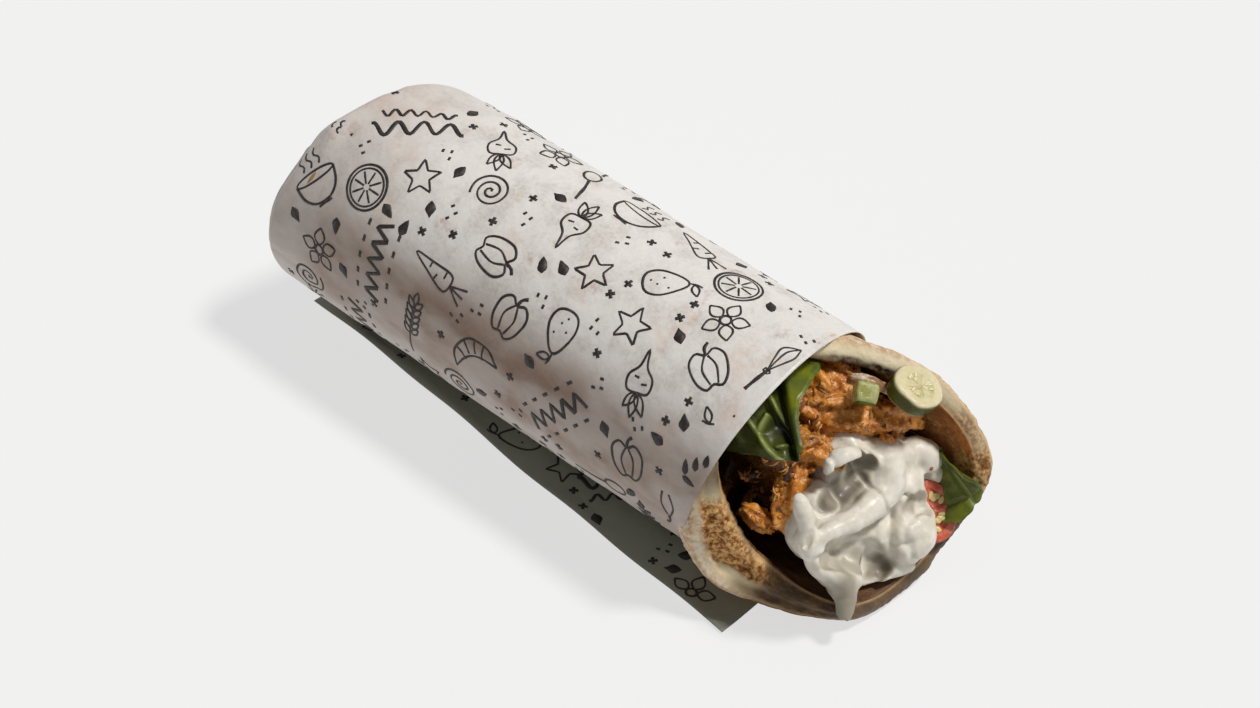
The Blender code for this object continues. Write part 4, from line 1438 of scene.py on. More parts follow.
def small_shreds(pick):
    """Shreds of meat strewn over the heap's front, lying every way."""
    shreds = []
    for _ in range(SMALL_SHREDS):
        reach = 24 * math.sqrt(pick.uniform(0, 1))
        turn = pick.uniform(0, 2 * math.pi)
        y, z = reach * math.sin(turn), AXIS_Z + reach * math.cos(turn)
        x = float(heap_front(y, z)) - 12 * bump(y, 7, 11) * bump(z, 50, 7) + pick.uniform(-6.5, -1.2)
        way = pick.normal(size=3) * (0.5, 1, 1)
        way *= pick.uniform(2.5, 6.5) / np.linalg.norm(way)
        bend = pick.normal(size=3) * 1.0
        thick = pick.uniform(0.9, 2.3)
        middle = np.array([x, y, z])
        knots = [
            (*(middle - way), thick * 0.6), (*(middle + bend), thick), (*(middle + way), thick * 0.45)
        ]
        # clear of the left leaf, which lies against the bore
        if all(np.hypot(k[1], k[2] - AXIS_Z) < (21 if -62 < knot_angle(k) < 42 else 25) for k in knots):
            shreds.append(knots)
    return shreds


def chicken_grain(points):
    """The granules that the sauce and the torn fibres make on the meat, in millimetres."""
    near, number = pebbles(points * np.array([0.85, 1.1, 1.1]), 1.9, 80)
    fine, _ = pebbles(points, 1.05, 85)
    return 0.6 * (0.5 - near) * (0.4 + number) + 0.5 * (0.55 - fine)


def chicken_body(grain):
    body = Block((36, -27, 5), (82, 27.5, 60.5), grain)
    p = body.points
    wall = HEAP_RADIUS - np.hypot(p[..., 1], p[..., 2] - AXIS_Z)
    top = bump(p[..., 1], 7, 11) * bump(p[..., 2], 50, 7)
    front = heap_front(p[..., 1], p[..., 2]) - 7 - 13 * top + 2 * noise(p, 8, 79) - p[..., 0]
    body.depth = np.minimum(np.minimum(wall, front), p[..., 0] - 36.5)
    pick = np.random.default_rng(7)
    for knots in small_shreds(pick):
        body.add_strand(knots, 0.15, int(pick.integers(3, 7)), pick.uniform(0.15, 0.75))
    for knots in SAUCE_HOLLOWS[:4]:
        body.add_strand([(*knot[:3], knot[3] + 2.0) for knot in knots], 0.5, cut=True)
    for knots in BIG_SHREDS:
        body.add_strand(knots, 0.3, int(pick.integers(4, 8)), pick.uniform(0.75, 1))
    shown = np.abs(body.depth) < 2.5
    spots = p[shown]
    body.depth[shown] += chicken_grain(spots) + 0.45 * noise(spots, 4, 88)
    return body


def torn_fibres(points, normals, tone):
    """Fine torn ends of meat that stand on the skin of the shreds, as thin tapering tubes."""
    pick = np.random.default_rng(23)
    front = (normals @ np.array([0.6, -0.2, 0.75]) > 0.15) & (points[:, 0] > 50) & (tone > 0.35)
    chosen = pick.choice(np.flatnonzero(front), FIBRES, replace=False)
    turns = np.arange(5) * 2 * math.pi / 5
    shapes, values = [], []
    for index in chosen:
        normal = normals[index]
        way = np.cross(normal, pick.normal(size=3))
        way /= np.linalg.norm(way)
        side = np.cross(normal, way)
        torn = pick.uniform(0, 1) < 0.5
        long, thick = (pick.uniform(1.8, 4.2), 0.27) if torn else (
            pick.uniform(0.9, 2.2), pick.uniform(0.3, 0.7)
        )
        arch, sway = pick.uniform(0.1, 0.7), pick.normal() * 0.5
        rows = []
        for step in np.linspace(-1, 1, 7):
            middle = points[index] + way * step * long / 2 + side * sway * step * step
            middle = middle + normal * (arch * 0.7 * (1 - step * step) - 0.3)
            radius = thick * (1 - 0.8 * abs(step) ** 2.5)
            rows.append(
                middle + radius * (np.cos(turns)[:, None] * normal - np.sin(turns)[:, None] * side)
            )
        shape = sock(np.array(rows))
        shapes.append(shape)
        values.append(np.full(len(shape[0]), pick.uniform(0.35, 0.85)))
    return join_shapes(shapes), np.concatenate(values)


def trim_inside(points, radius=26.4):
    """Keeps points clear of the bread's bore."""
    reach = np.hypot(points[:, 1], points[:, 2] - AXIS_Z)
    inward = np.minimum(1, radius / np.maximum(reach, 1e-9))
    points[:, 1] *= inward
    points[:, 2] = AXIS_Z + (points[:, 2] - AXIS_Z) * inward
    return points


def packed_core():
    """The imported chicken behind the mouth, which nothing shows of."""
    angle = np.arange(48) * 7.5 - 180
    rings = []
    for share in (0.3, 0.8, 1):
        rings.append(on_roll(end_plane(angle, 25 * share) + 9.5, angle, 25 * share))
    for x in (-60, -20, 20, 38):
        rings.append(on_roll(np.full(48, float(x)), angle, 25.0))
    return sock(np.array(rings)[::-1])


def seasoned_chicken(settings):
    """Roast chicken pulled into shreds and turned in a paprika sauce: orange-brown, with
    paler fibre ends and painted highlights on its granules' crests, browned sides, painted
    shade in the gaps and on the meat set back in the heap, and a wet gloss on the high parts."""
    material, tree, shader = new_material("seasoned_chicken")
    where = add_node(tree, "TexCoord", output="Object")
    crest = add_node(tree, "Attribute", output="Fac", attribute_name="crest")
    broad = patches(tree, where, 5, 0.36, 0.66, 4, 0.6, 2)
    fine = patches(tree, where, 0.9, 0.34, 0.70, 3, 0.7, 5)
    speck = patches(tree, where, 0.75, 0.52, 0.66, 3, 0.75, 31)
    tone, deep = (
        add_node(tree, "Attribute", output="Fac", attribute_name=name) for name in ("tone", "deep")
    )
    meat = add_node(tree, "Mix", (broad, linear(settings.meat), linear("#B0641A")), **COLOURS)
    other = add_node(tree, "Mix", (0.5, meat, linear(settings.dark)), **COLOURS)
    mask = add_node(tree, "MapRange", (tone, 0.2, 1), **SMOOTH)
    meat = add_node(tree, "Mix", (mask, other, meat), **COLOURS)
    # painted highlight: the paler fibre colour goes on the granules' crests; painted shade: the dark
    # colour goes into the gaps between them
    part = add_node(tree, "Math", (fine, 0.5, 0.3), operation="MULTIPLY_ADD")
    value = add_node(tree, "MapRange", (crest, 0.52, 0.85), **SMOOTH)
    pale = add_node(tree, "Math", (value, part), operation="MULTIPLY")
    part = add_node(tree, "MapRange", (tone, 0, 0.9, 0.35, 1), **SMOOTH)
    mask = add_node(tree, "Math", (pale, part), operation="MULTIPLY")
    colour = add_node(tree, "Mix", (mask, meat, linear(settings.light)), **COLOURS)
    mask = add_node(tree, "MapRange", (crest, 0.44, 0.2, 0, 0.85), **SMOOTH)
    colour = add_node(tree, "Mix", (mask, colour, linear(settings.dark)), **COLOURS)
    part = add_node(tree, "MapRange", (crest, 0.3, 0.6, 0.1, 0.7), **SMOOTH)
    mask = add_node(tree, "Math", (speck, part), operation="MULTIPLY")
    colour = add_node(tree, "Mix", (mask, colour, linear(settings.light)), **COLOURS)
    mask = patches(tree, where, 0.8, 0.6, 0.72, 3, 0.75, 37)
    colour = add_node(tree, "Mix", (mask, colour, linear("#7A3A10")), **COLOURS)
    # painted shade on recessed meat, from the deep mark
    colour = add_node(tree, "Mix", (deep, colour, linear("#220A03")), **COLOURS)
    connect(tree, shader, {
        "Base Color": colour, "IOR": 1.45,
        "Roughness": add_node(tree, "MapRange", (fine, 0, 1, 0.24, 0.5), **SMOOTH),
        "Subsurface Weight": 0.12, "Subsurface Radius": (1.0 * MM, 0.6 * MM, 0.25 * MM),
        "Subsurface Scale": 1,
    })
    # meat fibres, drawn 0.7 mm apart so that they show
    grain = add_node(
        tree, "TexNoise", {"Vector": where, "Scale": 1 / (0.7 * MM), "Detail": 3, "Roughness": 0.6}
    )
    relief = add_node(tree, "Bump", {"Height": grain, "Strength": 0.55, "Distance": 0.35 * MM})
    connect(tree, shader, {"Normal": relief})
    return material


class GYRO_OT_chicken(bpy.types.Operator):
    """Heap up the shredded chicken over its packed core"""

    bl_idname = "gyro.chicken"
    bl_label = "Chicken"

    def execute(self, context):
        settings = context.scene.gyro_chicken
        body = chicken_body(settings.grain / MM)
        points, faces = body.skin()
        points = trim_inside(points)
        crest = np.clip(0.5 + 0.9 * chicken_grain(points), 0, 1)
        behind = heap_front(points[:, 1], points[:, 2]) - 4.2 - points[:, 0]
        tone = body.at(body.tone, points)
        # painted shade: meat set back behind the heap's front and in the pocket by the near lip is
        # darkened
        deep = np.maximum(ease(behind / 4), 0.9 * pocket(points[:, 1] - 2, points[:, 2])) * (tone < 0.8)
        deep = deep * (1 - 0.85 * bump(points[:, 2], 50, 11) * ease((points[:, 1] + 2) / 6))
        core = packed_core()
        fibres, bright = torn_fibres(points, point_normals(points, faces), tone)
        fibres = (trim_inside(fibres[0]), fibres[1])
        shape = join_shapes([(points, faces), core, fibres])
        rest = np.full(len(core[0]), 0.5)
        marks = {
            "crest": np.concatenate([crest, rest, bright]),
            "tone": np.concatenate([tone, rest, bright]),
            "deep": np.concatenate([deep, rest, 0 * bright]),
        }
        make_piece(
            "shredded_chicken", shape, seasoned_chicken(settings), ["chicken_filling"], marks
        )
        return {"FINISHED"}


# Yoghurt sauce


class SauceSettings(bpy.types.PropertyGroup):
    cream: StringProperty(
        name="Cream", description="Of the strained yoghurt", default="#E4DED2"
    )
    herb: StringProperty(name="Herb", description="Of the dried herb in it", default="#6C7A4A")
    grain: FloatProperty(
        name="Grain", description="Size of the finest shape of the sauce",
        default=0.5 * MM, unit="LENGTH", precision=5,
    )
    gloss: FloatProperty(
        name="Gloss", description="Roughness of the wet surface", default=0.32, min=0, max=1
    )


# The spoonful's body, as the middle and the sizes of each lump
SAUCE_LUMPS = (
    ((68, 6.5, 26), (9, 13, 13)),
    ((67, 6, 36), (6.5, 7, 7)),
    ((69.5, 15, 27), (7.5, 9, 11)),
    ((79.5, 14.5, 24), (5, 6.5, 6.5)),
    ((71, -8, 25), (7.5, 9.5, 10.5)),
    ((75, 3, 16.5), (8.5, 10.5, 9)),
    ((82, -2.5, 10.5), (4.2, 4.6, 3.2)),
    ((80, 6.5, 13.5), (5, 6, 6)),
)
# Its swirls, as x, y, z and radius along each, from the top of the mouth down
SAUCE_SWIRLS = (
    # the curl on the left, over the first hollow
    (
        (71.0, -5.2, 42.0, 1.5), (71.0, -2.8, 43.8, 2.3), (72.2, 0.8, 42.8, 2.5), (73.4, 4.4, 40.2, 2.3),
        (74.6, 7.6, 37.2, 1.8),
    ),
    # the broad fold that starts behind it and sweeps down to the left
    (
        (74, 12.4, 36.4, 3.8), (77.2, 10.2, 32, 4.6), (78.7, 5.9, 29.5, 4.4), (79.1, -0.2, 29.5, 3.6),
        (78.8, -6.8, 30.6, 2.8),
    ),
    ((78.8, -6.8, 30.6, 2.8), (78.2, -12, 31.8, 2.6), (77.3, -16.0, 31.4, 1.9)),
    # its raised edge on the right
    (
        (76.4, 16.6, 33, 3.0), (79.7, 15.8, 28.3, 1.9), (81, 12.8, 25.9, 1.3), (82, 9, 24, 1.0),
        (83.9, 6.1, 19.8, 0.8),
    ),
    # the lobe against the far wall, and the one under it
    ((77.0, 21.4, 31.4, 3.4), (79.0, 22.8, 29.2, 3.9), (80.8, 23.2, 25.6, 3.2), (82.8, 24.4, 21.2, 1.6)),
    ((85.0, 7.8, 19.2, 3.8), (86.6, 11.0, 17.2, 4.6), (87.0, 7.8, 15.0, 4.4), (86.0, 11.8, 20.4, 2.6)),
    ((79.5, 15, 27, 3.4), (82.6, 15.2, 22.8, 3.8), (85, 14.4, 18.6, 3.6)),
    # the small one that stands against the chicken
    ((71.4, -17, 42, 1.4), (73.2, -17.6, 39.5, 2.3), (75, -18.1, 36.2, 2.3), (75.2, -19.2, 33.4, 1.9)),
    # the underside, down to the drop
    ((75.2, -18.6, 32.1, 3.2), (77.6, -17.4, 26, 3.6), (80.3, -15.6, 21, 3.8), (82.6, -12.6, 16.5, 3.6)),
    ((82.6, -8, 14.5, 3.4), (84.5, -0.6, 10.9, 2.6), (85.4, 4.2, 9.5, 3.0), (86.4, 7.5, 7.6, 2.4)),
    (
        (79.5, -11.5, 17.5, 4.2), (83.2, -12.8, 13.0, 3.2), (85.4, -15.0, 10, 2.0),
        (86.2, -16.4, 8.6, 1.3),
    ),
    ((85.5, 11.6, 10.5, 0.9), (86.4, 11.4, 7.6, 0.6)),
)
# What the spoon and the folds leave hollow, as x, y, z and radius along each
SAUCE_HOLLOWS = (
    (
        (74.6, -11.2, 38.2, 2.4), (74.8, -7.2, 37.8, 4.2), (74.6, -2.0, 38.2, 5.2),
        (74.4, 2.6, 38.0, 4.2), (74.4, 5.2, 37.8, 2.4),
    ),
    ((74.0, -9.6, 36.2, 2.6), (74.0, -5.6, 35.4, 3.6), (74.2, -1.4, 35.2, 3.8), (74.2, 2.4, 35.4, 3.0)),
    ((84.6, 8.6, 25.0, 1.2), (84.6, 12.8, 24.6, 2.6), (86.0, 15.6, 21.8, 2.0)),
    ((81.6, 18.8, 25.8, 1.2), (83.8, 21.6, 20.6, 1.6)),
    ((75.9, -13.8, 37, 0.8), (76.6, -17.5, 36, 1.0), (77, -20.6, 32.4, 0.9)),
    ((80.8, -16.6, 26.4, 2.4), (82.4, -9.8, 23, 3.9), (84.2, -3.4, 18, 4.3), (86, -0.3, 13.9, 3.0)),
    ((84.6, -4.0, 17.0, 3.2), (86.0, -1.9, 14.3, 3.4), (86, -5.6, 14.5, 2.6)),
    ((83.2, -2.2, 14.6, 2.8), (84.6, -0.2, 12.0, 2.6), (84.8, -4.0, 12.2, 2.0)),
)


def sauce_body(grain):
    body = Block((56, -22, 4), (92, 28, 52), grain)
    for centre, sizes in SAUCE_LUMPS:
        body.add_lump(centre, sizes, 3)
    for knots in SAUCE_SWIRLS:
        body.add_strand(knots, 1.4)
    for knots in SAUCE_HOLLOWS:
        body.add_strand(knots, 1.0, cut=True)
    near = np.abs(body.depth) < 3
    spots = body.points[near]
    # folds: a few sharp creases, as a spoon leaves them, over soft waves
    crease = np.maximum(0.16 - np.abs(noise(spots, 8, 95)), 0) * 4.5
    folds = 0.4 * noise(spots, 6, 91) + 0.26 * noise(spots, 3, 92) + 0.12 * noise(spots, 1.4, 93)
    body.depth[near] += folds - crease
    reach = np.hypot(body.points[..., 1], body.points[..., 2] - AXIS_Z)
    body.depth = np.minimum(body.depth, (29.5 - reach) * 0.8)
    return body


def shade_and_juice_of_sauce(points):
    """How much painted shade each part of the sauce has, in its hollows, with a little of the meat's
    juice there, and along its underside.
    """
    shade_and_juice = np.zeros(len(points))
    for knots, share in zip(SAUCE_HOLLOWS, (0.85, 0.95, 0.5, 0.4, 0.3, 0.6, 0.8, 1)):
        shade_and_juice = np.maximum(
            shade_and_juice, share * ease((strand_depth(points, np.array(knots, float)) + 1.2) / 1.8)
        )
    # and painted shade along the underside, on the near side
    under = ease((-7 - points[:, 1]) / 6) * ease((26 - points[:, 2]) / 7)
    return np.maximum(shade_and_juice, 0.58 * under)


def strained_yoghurt(settings):
    """Thick strained yoghurt: cream white, soft within, with a wet sheen."""
    material, tree, shader = new_material("strained_yoghurt")
    where = add_node(tree, "TexCoord", output="Object")
    curd = patches(tree, where, 3, 0.35, 0.7, 3, 0.6, 2)
    colour = add_node(tree, "Mix", (curd, linear(settings.cream), linear("#D3CCBB")), **COLOURS)
    # painted shade in the hollows and along the underside, with a little meat juice in the hollows
    shade_and_juice = add_node(tree, "Attribute", output="Fac", attribute_name="shade_and_juice")
    mask = add_node(tree, "MapRange", (shade_and_juice, 0, 0.6), **SMOOTH)
    colour = add_node(tree, "Mix", (mask, colour, linear("#A39B8A")), **COLOURS)
    mask = add_node(tree, "MapRange", (shade_and_juice, 0.45, 0.95, 0, 0.92), **SMOOTH)
    colour = add_node(tree, "Mix", (mask, colour, linear("#483E33")), **COLOURS)
    roughness = add_node(tree, "MapRange", (curd, 0, 1, settings.gloss, settings.gloss + 0.14), **SMOOTH)
    connect(tree, shader, {
        "Base Color": colour, "IOR": 1.35, "Roughness": roughness, "Subsurface Weight": 0.12,
        "Subsurface Radius": (1.6 * MM, 1.2 * MM, 0.8 * MM), "Subsurface Scale": 1,
    })
    grain = add_node(tree, "TexNoise", {"Vector": where, "Scale": 1 / (1.4 * MM), "Detail": 3})
    relief = add_node(tree, "Bump", {"Height": grain, "Strength": 0.22, "Distance": 0.3 * MM})
    connect(tree, shader, {"Normal": relief})
    return material


class GYRO_OT_sauce(bpy.types.Operator):
    """Spoon the yoghurt sauce into the mouth"""

    bl_idname = "gyro.sauce"
    bl_label = "Yoghurt sauce"

    def execute(self, context):
        settings = context.scene.gyro_sauce
        points, faces = sauce_body(settings.grain / MM).skin()
        marks = {"shade_and_juice": shade_and_juice_of_sauce(points)}
        make_piece(
            "yoghurt_sauce",
            (points, faces),
            strained_yoghurt(settings),
            ["yogurt_sauce"],
            marks,
        )
        return {"FINISHED"}


# Salad


class SaladSettings(bpy.types.PropertyGroup):
    leaf: StringProperty(name="Leaf", description="Of the green leaf", default="#6C7209")
    rib: StringProperty(name="Rib", description="Of the leaf's ribs", default="#8C9654")
    tomato: StringProperty(
        name="Tomato", description="Of the tomato's flesh", default="#C8451F"
    )
    cucumber: StringProperty(
        name="Cucumber", description="Of the cucumber's flesh", default="#D6CBA2"
    )
    onion: StringProperty(name="Onion", description="Of the cooked onion", default="#DCCBB6")


LEAF_THICKNESS = 0.55
# The left leaf's front edge, as angle and x
LEFT_EDGE = (
    (-58, 51), (-54, 54.5), (-50, 57.5), (-47, 62), (-44, 65.2), (-40, 67.6), (-36, 68.6), (-31, 68.2),
    (-26, 66.2), (-20, 63.6), (-14, 61.6), (-8, 60.4), (0, 59.6), (8, 58.6), (17, 57.0), (26, 54.8),
    (34, 52.6), (42, 50),
)
RIGHT_EDGE = (
    (93, 76), (95, 84), (97, 89), (99.5, 92.2), (103, 93.9), (109, 94.9), (114, 94.8), (119, 94.2),
    (125, 92.8), (131, 91), (136, 87),
)
LEAF_CURL = 91.2  # where the right leaf starts to bend out over the bread's lip
CURL_RADIUS = 2.6


def leaf_relief(x, angle):
    """How far the left leaf stands above its place, how much of a rib each point is, and
    how much painted shade it has in the folds and pockets and low on the leaf's near side."""
    fold = -8 - 2.1 * (x - 54)
    groove = bump(angle, fold - 1.5, 3.4) * ease((x - 47) / 6)
    hung = ease((fold - angle) / 3)
    rib_a = bump(angle, -17 - 1.0 * (x - 53.5), 2.0)
    rib_b = bump(angle, -34.5 - 0.9 * (x - 53.5) + 0.07 * np.maximum(x - 60, 0) ** 2, 1.9)
    rib_c = bump(x, 56.6 - 0.05 * (angle + 30), 1.0) * ease((angle + 39) / 3) * ease((-24 - angle) / 3)
    rib_d = bump(x - 0.35 * (angle + 40), 62.4, 1.0) * ease((angle + 41) / 3) * ease((-27 - angle) / 3)
    ribs = np.maximum.reduce([rib_a, rib_b, rib_c, 0.7 * rib_d]) * hung
    pocket = bump(angle, -27 - 0.4 * (x - 58), 5.5) * bump(x, 59.5, 4.5) * (1 - ribs)
    outer = ease((-43 - angle) / 8)
    lift = -3.4 * groove + 1.7 * ribs - 2.6 * pocket * hung - 2.2 * outer - 1.0 * hung
    shade = np.clip(
        groove + 0.9 * pocket + 0.25 * outer + 0.4 * ease((-24 - angle) / 10) * (1 - ribs), 0, 1
    )
    return lift, ribs, shade, hung


def leaf_shape(edge, radius, back, relief, seed):
    """A leaf that lies against the bread's bore from x = back to its front edge."""
    first, last = edge[0][0], edge[-1][0]
    angle = np.arange(first, last + 0.01, 0.6)
    front = np.interp(angle, *np.array(edge).T)
    front = front + 0.5 * noise(np.stack([angle * 0.45, 0 * angle, 0 * angle], -1), 2.2, seed)
    share = np.linspace(0, 1, 64)[:, None]
    x = mix(back, front[None], 1 - (1 - share) ** 1.35)
    angle = np.broadcast_to(angle, x.shape)
    flat = np.stack([x, angle * 0.44, 0 * x], -1)
    lift, ribs, shade, hung = relief(x, angle)
    puckers = 0.5 * noise(flat, 5, seed + 1) + (0.22 + 0.3 * hung) * noise(flat, 2.1, seed + 2)
    tip = ease((share - 0.9) / 0.1)
    over = np.maximum(x - LEAF_CURL, 0)
    turn = np.minimum(over / CURL_RADIUS, math.pi / 2)
    outwards = CURL_RADIUS * (1 - np.cos(turn)) + np.maximum(over - CURL_RADIUS * math.pi / 2, 0)
    wavy = lift + puckers * (0.35 + 0.65 * hung) - 0.5 * tip
    points = on_roll(
        np.minimum(x, LEAF_CURL) + CURL_RADIUS * np.sin(turn) - wavy * np.sin(turn) * 0.6,
        angle,
        radius + outwards + wavy * np.cos(turn),
    )
    normal = grid_normals(points)
    outward = np.sign((normal * on_roll(0 * x, angle, 1)).sum(-1).mean())
    thick = LEAF_THICKNESS * (1 - 0.6 * tip[..., None] * np.ones_like(x)[..., None])
    inner = points - outward * normal * thick
    shape = slab(points, inner) if outward > 0 else slab(inner, points)
    marks = {"rib": ribs, "shade": shade, "vein": hung}
    return shape, {name: np.concatenate([value.ravel()] * 2) for name, value in marks.items()}


def right_relief(x, angle):
    """The right leaf's ribs and folds, as leaf_relief."""
    main = bump(angle, 103 + 1.7 * (x - 86), 2.0)
    side = np.maximum(
        bump(angle - 1.2 * (x - 86), 96, 1.5) * ease((x - 85) / 3),
        bump(angle + 2.5 * (x - 90), 118, 1.6) * ease((x - 86) / 3),
    )
    ribs = np.maximum(main, 0.7 * side)
    fold = bump(angle, 98, 3.2) * ease((x - 80) / 4)
    lift = 1.0 * ribs - 1.6 * fold + 1.5 * ease((x - 86) / 6) * bump(angle, 111, 8) - 1.2
    return lift, ribs, 0.7 * fold * (1 - ribs), 0.35 + 0 * x


def salad_leaf(settings):
    """Young salad leaf: waxy and dark green over paler, raised ribs, and thin enough that
    light shows through it."""
    material, tree, shader = new_material("salad_leaf")
    where = add_node(tree, "TexCoord", output="Object")
    rib, shade, vein = (
        add_node(tree, "Attribute", output="Fac", attribute_name=name)
        for name in ("rib", "shade", "vein")
    )
    cloud = patches(tree, where, 5, 0.35, 0.68, 4, 0.6, 1)
    green = add_node(tree, "Mix", (cloud, linear(settings.leaf), linear("#3F4F0C")), **COLOURS)
    mask = add_node(tree, "Math", (vein, 0.62), operation="MULTIPLY")
    green = add_node(tree, "Mix", (mask, green, linear("#353A08")), **COLOURS)
    # net of small veins, 1.6 mm between them
    net = add_node(
        tree, "TexVoronoi", {"Vector": where, "Scale": 1 / (1.6 * MM), "Randomness": 0.9},
        feature="DISTANCE_TO_EDGE",
    )
    veins = add_node(tree, "MapRange", (net, 0.11, 0.0), **SMOOTH)
    mask = add_node(tree, "Math", (veins, 0.1), operation="MULTIPLY")
    colour = add_node(tree, "Mix", (mask, green, linear(settings.rib)), **COLOURS)
    part = add_node(tree, "MapRange", (rib, 0.3, 0.95), **SMOOTH)
    mask = add_node(tree, "Math", (part, 0.85), operation="MULTIPLY")
    colour = add_node(tree, "Mix", (mask, colour, linear(settings.rib)), **COLOURS)
    # painted shade in the leaf's folds and pockets
    mask = add_node(tree, "Math", (shade, 0.8), operation="MULTIPLY")
    colour = add_node(tree, "Mix", (mask, colour, linear("#0A0D03")), **COLOURS)
    connect(tree, shader, {
        "Base Color": colour, "IOR": 1.45,
        "Roughness": add_node(tree, "MapRange", (cloud, 0, 1, 0.36, 0.54), **SMOOTH),
        "Subsurface Weight": 0.2, "Subsurface Radius": (0.5 * MM, 0.9 * MM, 0.15 * MM),
        "Subsurface Scale": 1,
    })
    part = add_node(tree, "Math", (cloud, 0.2), operation="MULTIPLY")
    height = add_node(tree, "Math", (net, 1.2, part), operation="MULTIPLY_ADD")
    relief = add_node(tree, "Bump", {"Height": height, "Strength": 0.25, "Distance": 0.2 * MM})
    connect(tree, shader, {"Normal": relief})
    return material


class GYRO_OT_leaves(bpy.types.Operator):
    """Lay the salad leaves against the bread"""

    bl_idname = "gyro.leaves"
    bl_label = "Salad leaves"

    def execute(self, context):
        material = salad_leaf(context.scene.gyro_salad)
        shape, marks = leaf_shape(LEFT_EDGE, 25.9, 38, leaf_relief, 100)
        make_piece("leaf_left", shape, material, ["lettuce_left"], marks)
        shape, marks = leaf_shape(RIGHT_EDGE, 25.9, 60, right_relief, 110)
        make_piece("leaf_right", shape, material, ["lettuce_right"], marks)
        return {"FINISHED"}


def place_on(centre, facing, top):
    """The axes of a slice at this place: across, up and out of its face."""
    out = np.array(facing, float) / np.linalg.norm(facing)
    up = np.array(top, float) - np.dot(top, out) * out
    up /= np.linalg.norm(up)
    return np.array(centre, float), np.cross(up, out), up, out


def slice_shape(place, radius, thick, face, round_off, rows=26, columns=120):
    """A cut slice: a drum whose two faces have their own relief, with marks of how far out
    from the middle and round each point is."""
    centre, across, up, out = place
    angle = np.arange(columns) * 2 * math.pi / columns
    rings = []
    reach = []
    for side in (1, -1):
        shares = np.linspace(0.03, 1, rows)
        if side < 0:
            shares = shares[::-1]
        for share in shares:
            edge = np.clip((share - (1 - round_off / radius)) / (round_off / radius), 0, 1)
            height = thick / 2 - round_off * (1 - math.sqrt(max(1 - edge * edge, 0)))
            rings.append(
                np.stack(
                    [np.full(columns, share * radius), angle, side * (height + face(share, angle))], -1
                )
            )
            reach.append(np.full(columns, share))
        if side > 0:
            for step in (0.66, 0.33, 0, -0.33, -0.66):
                belly = radius + 0.15 * (1 - step * step)
                rings.append(
                    np.stack(
                        [
                            np.full(columns, belly),
                            angle,
                            np.full(columns, step * (thick / 2 - round_off)),
                        ],
                        -1,
                    )
                )
                reach.append(np.full(columns, 1.1))
    rings = np.array(rings)
    wobble = 1 + 0.035 * np.cos(2 * rings[..., 1] + 1) + 0.02 * np.cos(5 * rings[..., 1] + 2)
    distance = rings[..., 0] * wobble
    flat = distance * np.cos(rings[..., 1]), distance * np.sin(rings[..., 1])
    points = centre + flat[0][..., None] * across + flat[1][..., None] * up + rings[..., 2:] * out
    return points, np.array(reach), rings[..., 1]


def tomato_face(share, angle):
    """A tomato's cut face: a wall, four gel pockets a little sunk, and ribs between."""
    pocket = ease((share - 0.24) / 0.08) * ease((0.76 - share) / 0.08) * ease(
        (np.cos(4 * angle + 0.6) + 0.78) / 0.3
    )
    return -0.55 * pocket + 0.05 * np.sin(9 * angle + 14 * share)


def egg(centre, sizes, axes, rings=7, columns=10):
    """A small closed egg shape."""
    down = np.linspace(0.25, math.pi - 0.25, rings)[:, None]
    turn = np.arange(columns) * 2 * math.pi / columns
    local = np.stack(
        [np.sin(down) * np.cos(turn), np.sin(down) * np.sin(turn), np.cos(down) + 0 * turn], -1
    )
    return sock(np.array(centre) + (local * np.array(sizes)) @ np.array(axes))


def slice_seeds(place, thick, spots, sizes):
    """Seeds that lie on a slice's face, each at its angle and distance from the middle."""
    centre, across, up, out = place
    seeds = []
    for turn, reach, tilt in spots:
        way = np.cos(turn) * across + np.sin(turn) * up
        side = np.cross(out, way)
        long = np.cos(tilt) * way + np.sin(tilt) * side
        short = np.cross(out, long)
        seeds.append(egg(centre + way * reach + out * thick, sizes, (long, short, out)))
    return join_shapes(seeds)


def fruit_flesh(name, wall, gel, skin, rough, glow):
    """The cut flesh of a watery fruit: a paler wall, wet gel further in, and its skin."""
    material, tree, shader = new_material(name)
    where = add_node(tree, "TexCoord", output="Object")
    reach, pocket = (
        add_node(tree, "Attribute", output="Fac", attribute_name=mark) for mark in ("reach", "pocket")
    )
    grain = patches(tree, where, 1.6, 0.36, 0.66, 4, 0.65, 3)
    colour = add_node(tree, "Mix", (pocket, wall, gel), **COLOURS)
    # pale cells of the cut flesh catch the light
    other = add_node(tree, "Mix", (0.5, wall, (0.9, 0.82, 0.68, 1)), **COLOURS)
    mask = add_node(tree, "Math", (grain, 0.35), operation="MULTIPLY")
    colour = add_node(tree, "Mix", (mask, colour, other), **COLOURS)
    mask = add_node(tree, "MapRange", (reach, 0.93, 1.0), **SMOOTH)
    colour = add_node(tree, "Mix", (mask, colour, skin), **COLOURS)
    connect(tree, shader, {
        "Base Color": colour, "IOR": 1.36,
        "Roughness": add_node(tree, "MapRange", (grain, 0, 1, rough, rough + 0.22), **SMOOTH),
        "Subsurface Weight": 0.35, "Subsurface Radius": glow, "Subsurface Scale": 1,
    })
    relief = add_node(tree, "Bump", {"Height": grain, "Strength": 0.4, "Distance": 0.2 * MM})
    connect(tree, shader, {"Normal": relief})
    return material


